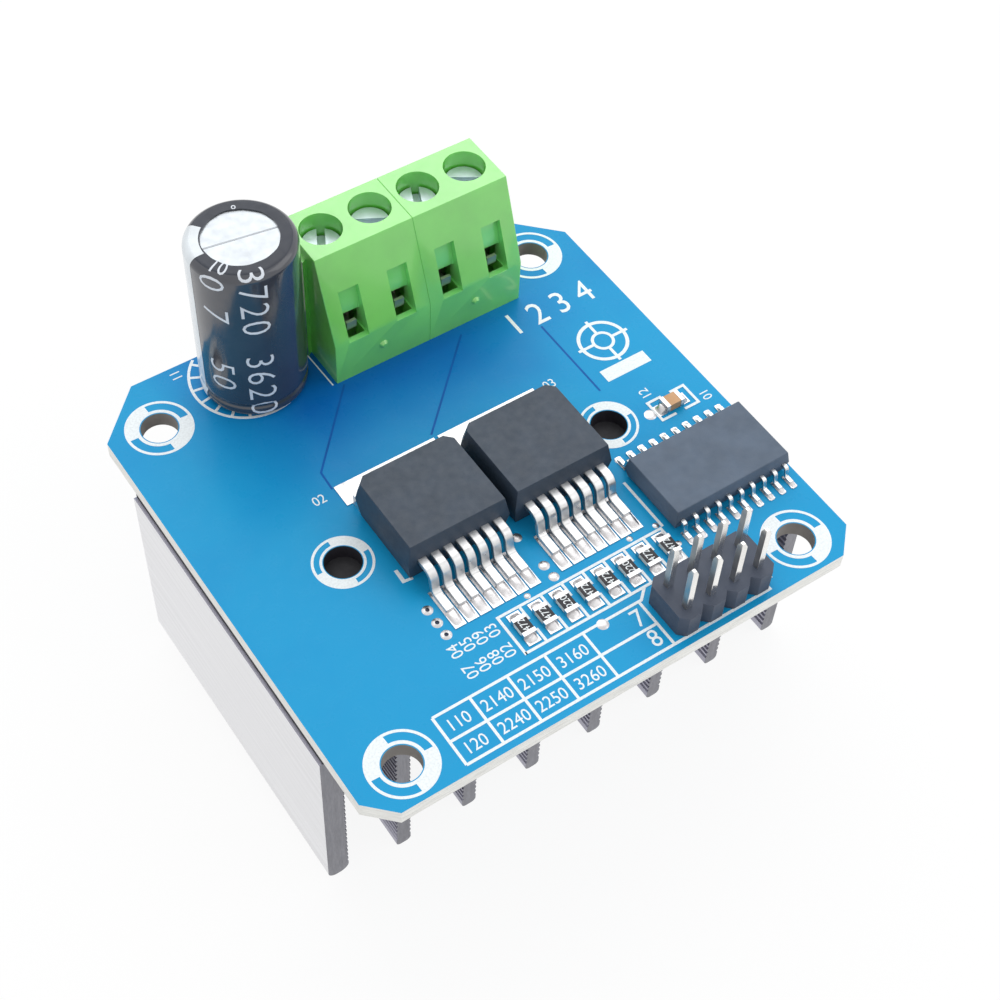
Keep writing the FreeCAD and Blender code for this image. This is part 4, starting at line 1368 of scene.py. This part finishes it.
class DRIVERBOARD_OT_solder(bpy.types.Operator):
    """Heaps solder on the lands beside the leads and round the tails under the board"""

    bl_idname = "driver_board.solder"
    bl_label = "Solder"

    land_top = 0.1
    # how far a heap's rim lies under the land's top, and its foot
    rim_sink, foot_sink = 0.02, 0.04
    lead_pitch, driver_leads, logic_leads = 1.27, 7, 10
    # along x the middles of the chips, and along y where each heap starts and ends at the lead
    driver_middles, logic_middle = (-5.45, 5.45), 18.15
    driver_heap, driver_film = (-12.05, -10.35), (-10.5, -8.1)
    logic_heaps = ((-15.98, -15.0), (-4.62, -5.6))
    # from the middle of a chip part, where the heap at its end starts, and where it meets the part
    end_heap = (1.68, 0.97)
    # width and height of the heaps
    driver_size, film_size, logic_size = (1.04, 0.26), (1.04, 0.1), (0.56, 0.2)
    resistor_size, ceramic_size = (1.1, 0.24), (1.15, 0.5)
    # the joints under the board, round the tails of the header, the terminals and the capacitor
    joint_radius, joint_height, joint_flare = 0.9, 0.95, 0.08
    tail_radius, core_radius, cap = 0.3, 0.05, 0.02
    header_pitch, header_middle = 2.54, (10.48, -20.6)
    terminal_tails = 22.45
    capacitor_pitch, capacitor_middle = 5.0, (-10.1, 21.05)

    def execute(self, context):
        finish = solder_finish()
        finish_node("solder_lands", finish)
        shapes = []
        for middle in self.driver_middles:
            for x in row(self.driver_leads, self.lead_pitch, middle):
                shapes.append(self.heap([(x, y) for y in self.driver_heap], self.driver_size, x))
                shapes.append(self.heap([(x, y) for y in self.driver_film], self.film_size, x, even=True))
        for x in row(self.logic_leads, self.lead_pitch, self.logic_middle):
            for heap in self.logic_heaps:
                shapes.append(self.heap([(x, y) for y in heap], self.logic_size, x))
        for place in RESISTORS:
            x, y = node_middle("resistor_%d" % place)[:2]
            for side in (-1, 1):
                ends = [(x, y + side * reach) for reach in self.end_heap]
                shapes.append(self.heap(ends, self.resistor_size, place))
        x, y = node_middle("ceramic_capacitor")[:2]
        for side in (-1, 1):
            ends = [(x + side * reach, y) for reach in self.end_heap]
            shapes.append(self.heap(ends, self.ceramic_size, side))
        add_piece("solder_heaps", joined(shapes), finish)
        self.add_joints(finish)
        return {"FINISHED"}

    def heap(self, ends, size, seed, even=False):
        """Solder drawn from the outer end of a land up to a toe. Across, its height is one less the
        fourth power of the parameter. Along, it climbs as a half wave of sine, or stays even between
        rounded ends, and a slow ripple of sines differs from heap to heap."""
        width, height = size
        u, v = np.meshgrid(np.linspace(-1, 1, 11), np.linspace(0, 1, 15), indexing="ij")
        across = 1 - u ** 4
        along = 1 - (2 * v - 1) ** 6 if even else np.sin(np.pi / 2 * v) ** 1.3
        ripple = 1 + 0.1 * np.sin(5.1 * v + 2.3 * seed) * np.cos(2.2 * u + 1.7 * seed)
        narrowing = 1 if even else 1 - 0.22 * (1 - v) ** 3
        outer, toe = np.array(ends)
        run = (toe - outer) / np.linalg.norm(toe - outer)
        sideways = np.array([-run[1], run[0]])
        middle = outer + v[..., None] * (toe - outer)
        flat = middle + (u * width / 2 * narrowing)[..., None] * sideways
        z = self.land_top - self.rim_sink + height * across * along * ripple
        points = np.concatenate([flat, z[..., None]], axis=-1).reshape(-1, 3)
        under = points.copy()
        under[:, 2] = self.land_top - self.foot_sink
        rows, columns = u.shape
        top_faces = grid_faces(rows, columns)
        place = np.arange(rows * columns).reshape(rows, columns)
        rim = np.concatenate([place[0, :-1], place[:-1, -1], place[-1, :0:-1], place[:0:-1, 0]])
        after = np.roll(rim, -1)
        wall = np.column_stack([rim, after, after + len(points), rim + len(points)])
        faces = np.concatenate([top_faces, top_faces[:, ::-1] + len(points), wall])
        return np.concatenate([points, under]), faces

    def add_joints(self, finish):
        """Round each tail under the board, solder falls away as a hollow cone: its radius shrinks with
        the square of what is left of its height."""
        x, y = self.header_middle
        columns, pair = row(4, self.header_pitch, x), row(2, self.header_pitch, y)
        tails = [(across, along) for across in columns for along in pair]
        tails += [(across, self.terminal_tails) for across in POLES]
        x, y = self.capacitor_middle
        tails += [(across, y) for across in row(2, self.capacitor_pitch, x)]
        bottom = node_box("circuit_board")[0][2]
        t = np.linspace(0, 1, 10)
        spread = self.joint_radius - self.tail_radius
        radius = self.tail_radius + spread * (1 - t) ** 2 + self.joint_flare * (1 - t)
        profile = np.column_stack([radius, bottom - self.joint_height * t])
        profile[0, 0] = self.joint_radius
        closing = [[self.core_radius, bottom - self.joint_height - self.cap], [self.core_radius, bottom]]
        profile = np.concatenate([profile, closing])
        shapes = []
        for place in tails:
            points, rows, steps = lathe(profile, place, 28)
            shapes.append((points, grid_faces(rows, steps, wrap_rows=True, wrap_columns=True)))
        joints = add_piece("tail_joints", joined(shapes), finish)
        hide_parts("solder_joints")


OPERATORS = (
    DRIVERBOARD_OT_board, DRIVERBOARD_OT_hole_rings, DRIVERBOARD_OT_lines, DRIVERBOARD_OT_numbers,
    DRIVERBOARD_OT_vias, DRIVERBOARD_OT_heatsink, DRIVERBOARD_OT_driver_chips, DRIVERBOARD_OT_logic_chip,
    DRIVERBOARD_OT_chip_parts, DRIVERBOARD_OT_capacitor, DRIVERBOARD_OT_terminals, DRIVERBOARD_OT_header,
    DRIVERBOARD_OT_solder, DRIVERBOARD_OT_stage,
)


class DRIVERBOARD_PT_panel(bpy.types.Panel):
    """Lists the steps that dress the board"""

    bl_idname = "DRIVERBOARD_PT_panel"
    bl_label = "Driver board"
    bl_space_type = "VIEW_3D"
    bl_region_type = "UI"
    bl_category = "Driver board"

    def draw(self, context):
        for operator in OPERATORS:
            self.layout.operator(operator.bl_idname)


CLASSES = (
    PrintSettings, BoardSettings, MetalSettings, PlasticSettings, StageSettings, DriverBoardSettings,
    *OPERATORS, DRIVERBOARD_PT_panel,
)


def register():
    """Registers the classes and adds the settings to the scene."""
    for each in CLASSES:
        bpy.utils.register_class(each)
    bpy.types.Scene.driver_board = bpy.props.PointerProperty(type=DriverBoardSettings)


def unregister():
    """Takes the settings and the classes away again."""
    del bpy.types.Scene.driver_board
    for each in reversed(CLASSES):
        bpy.utils.unregister_class(each)


def main():
    """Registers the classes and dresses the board."""
    register()
    for operator in OPERATORS:
        group, name = operator.bl_idname.split(".")
        getattr(getattr(bpy.ops, group), name)()


if __name__ == "__main__":
    main()
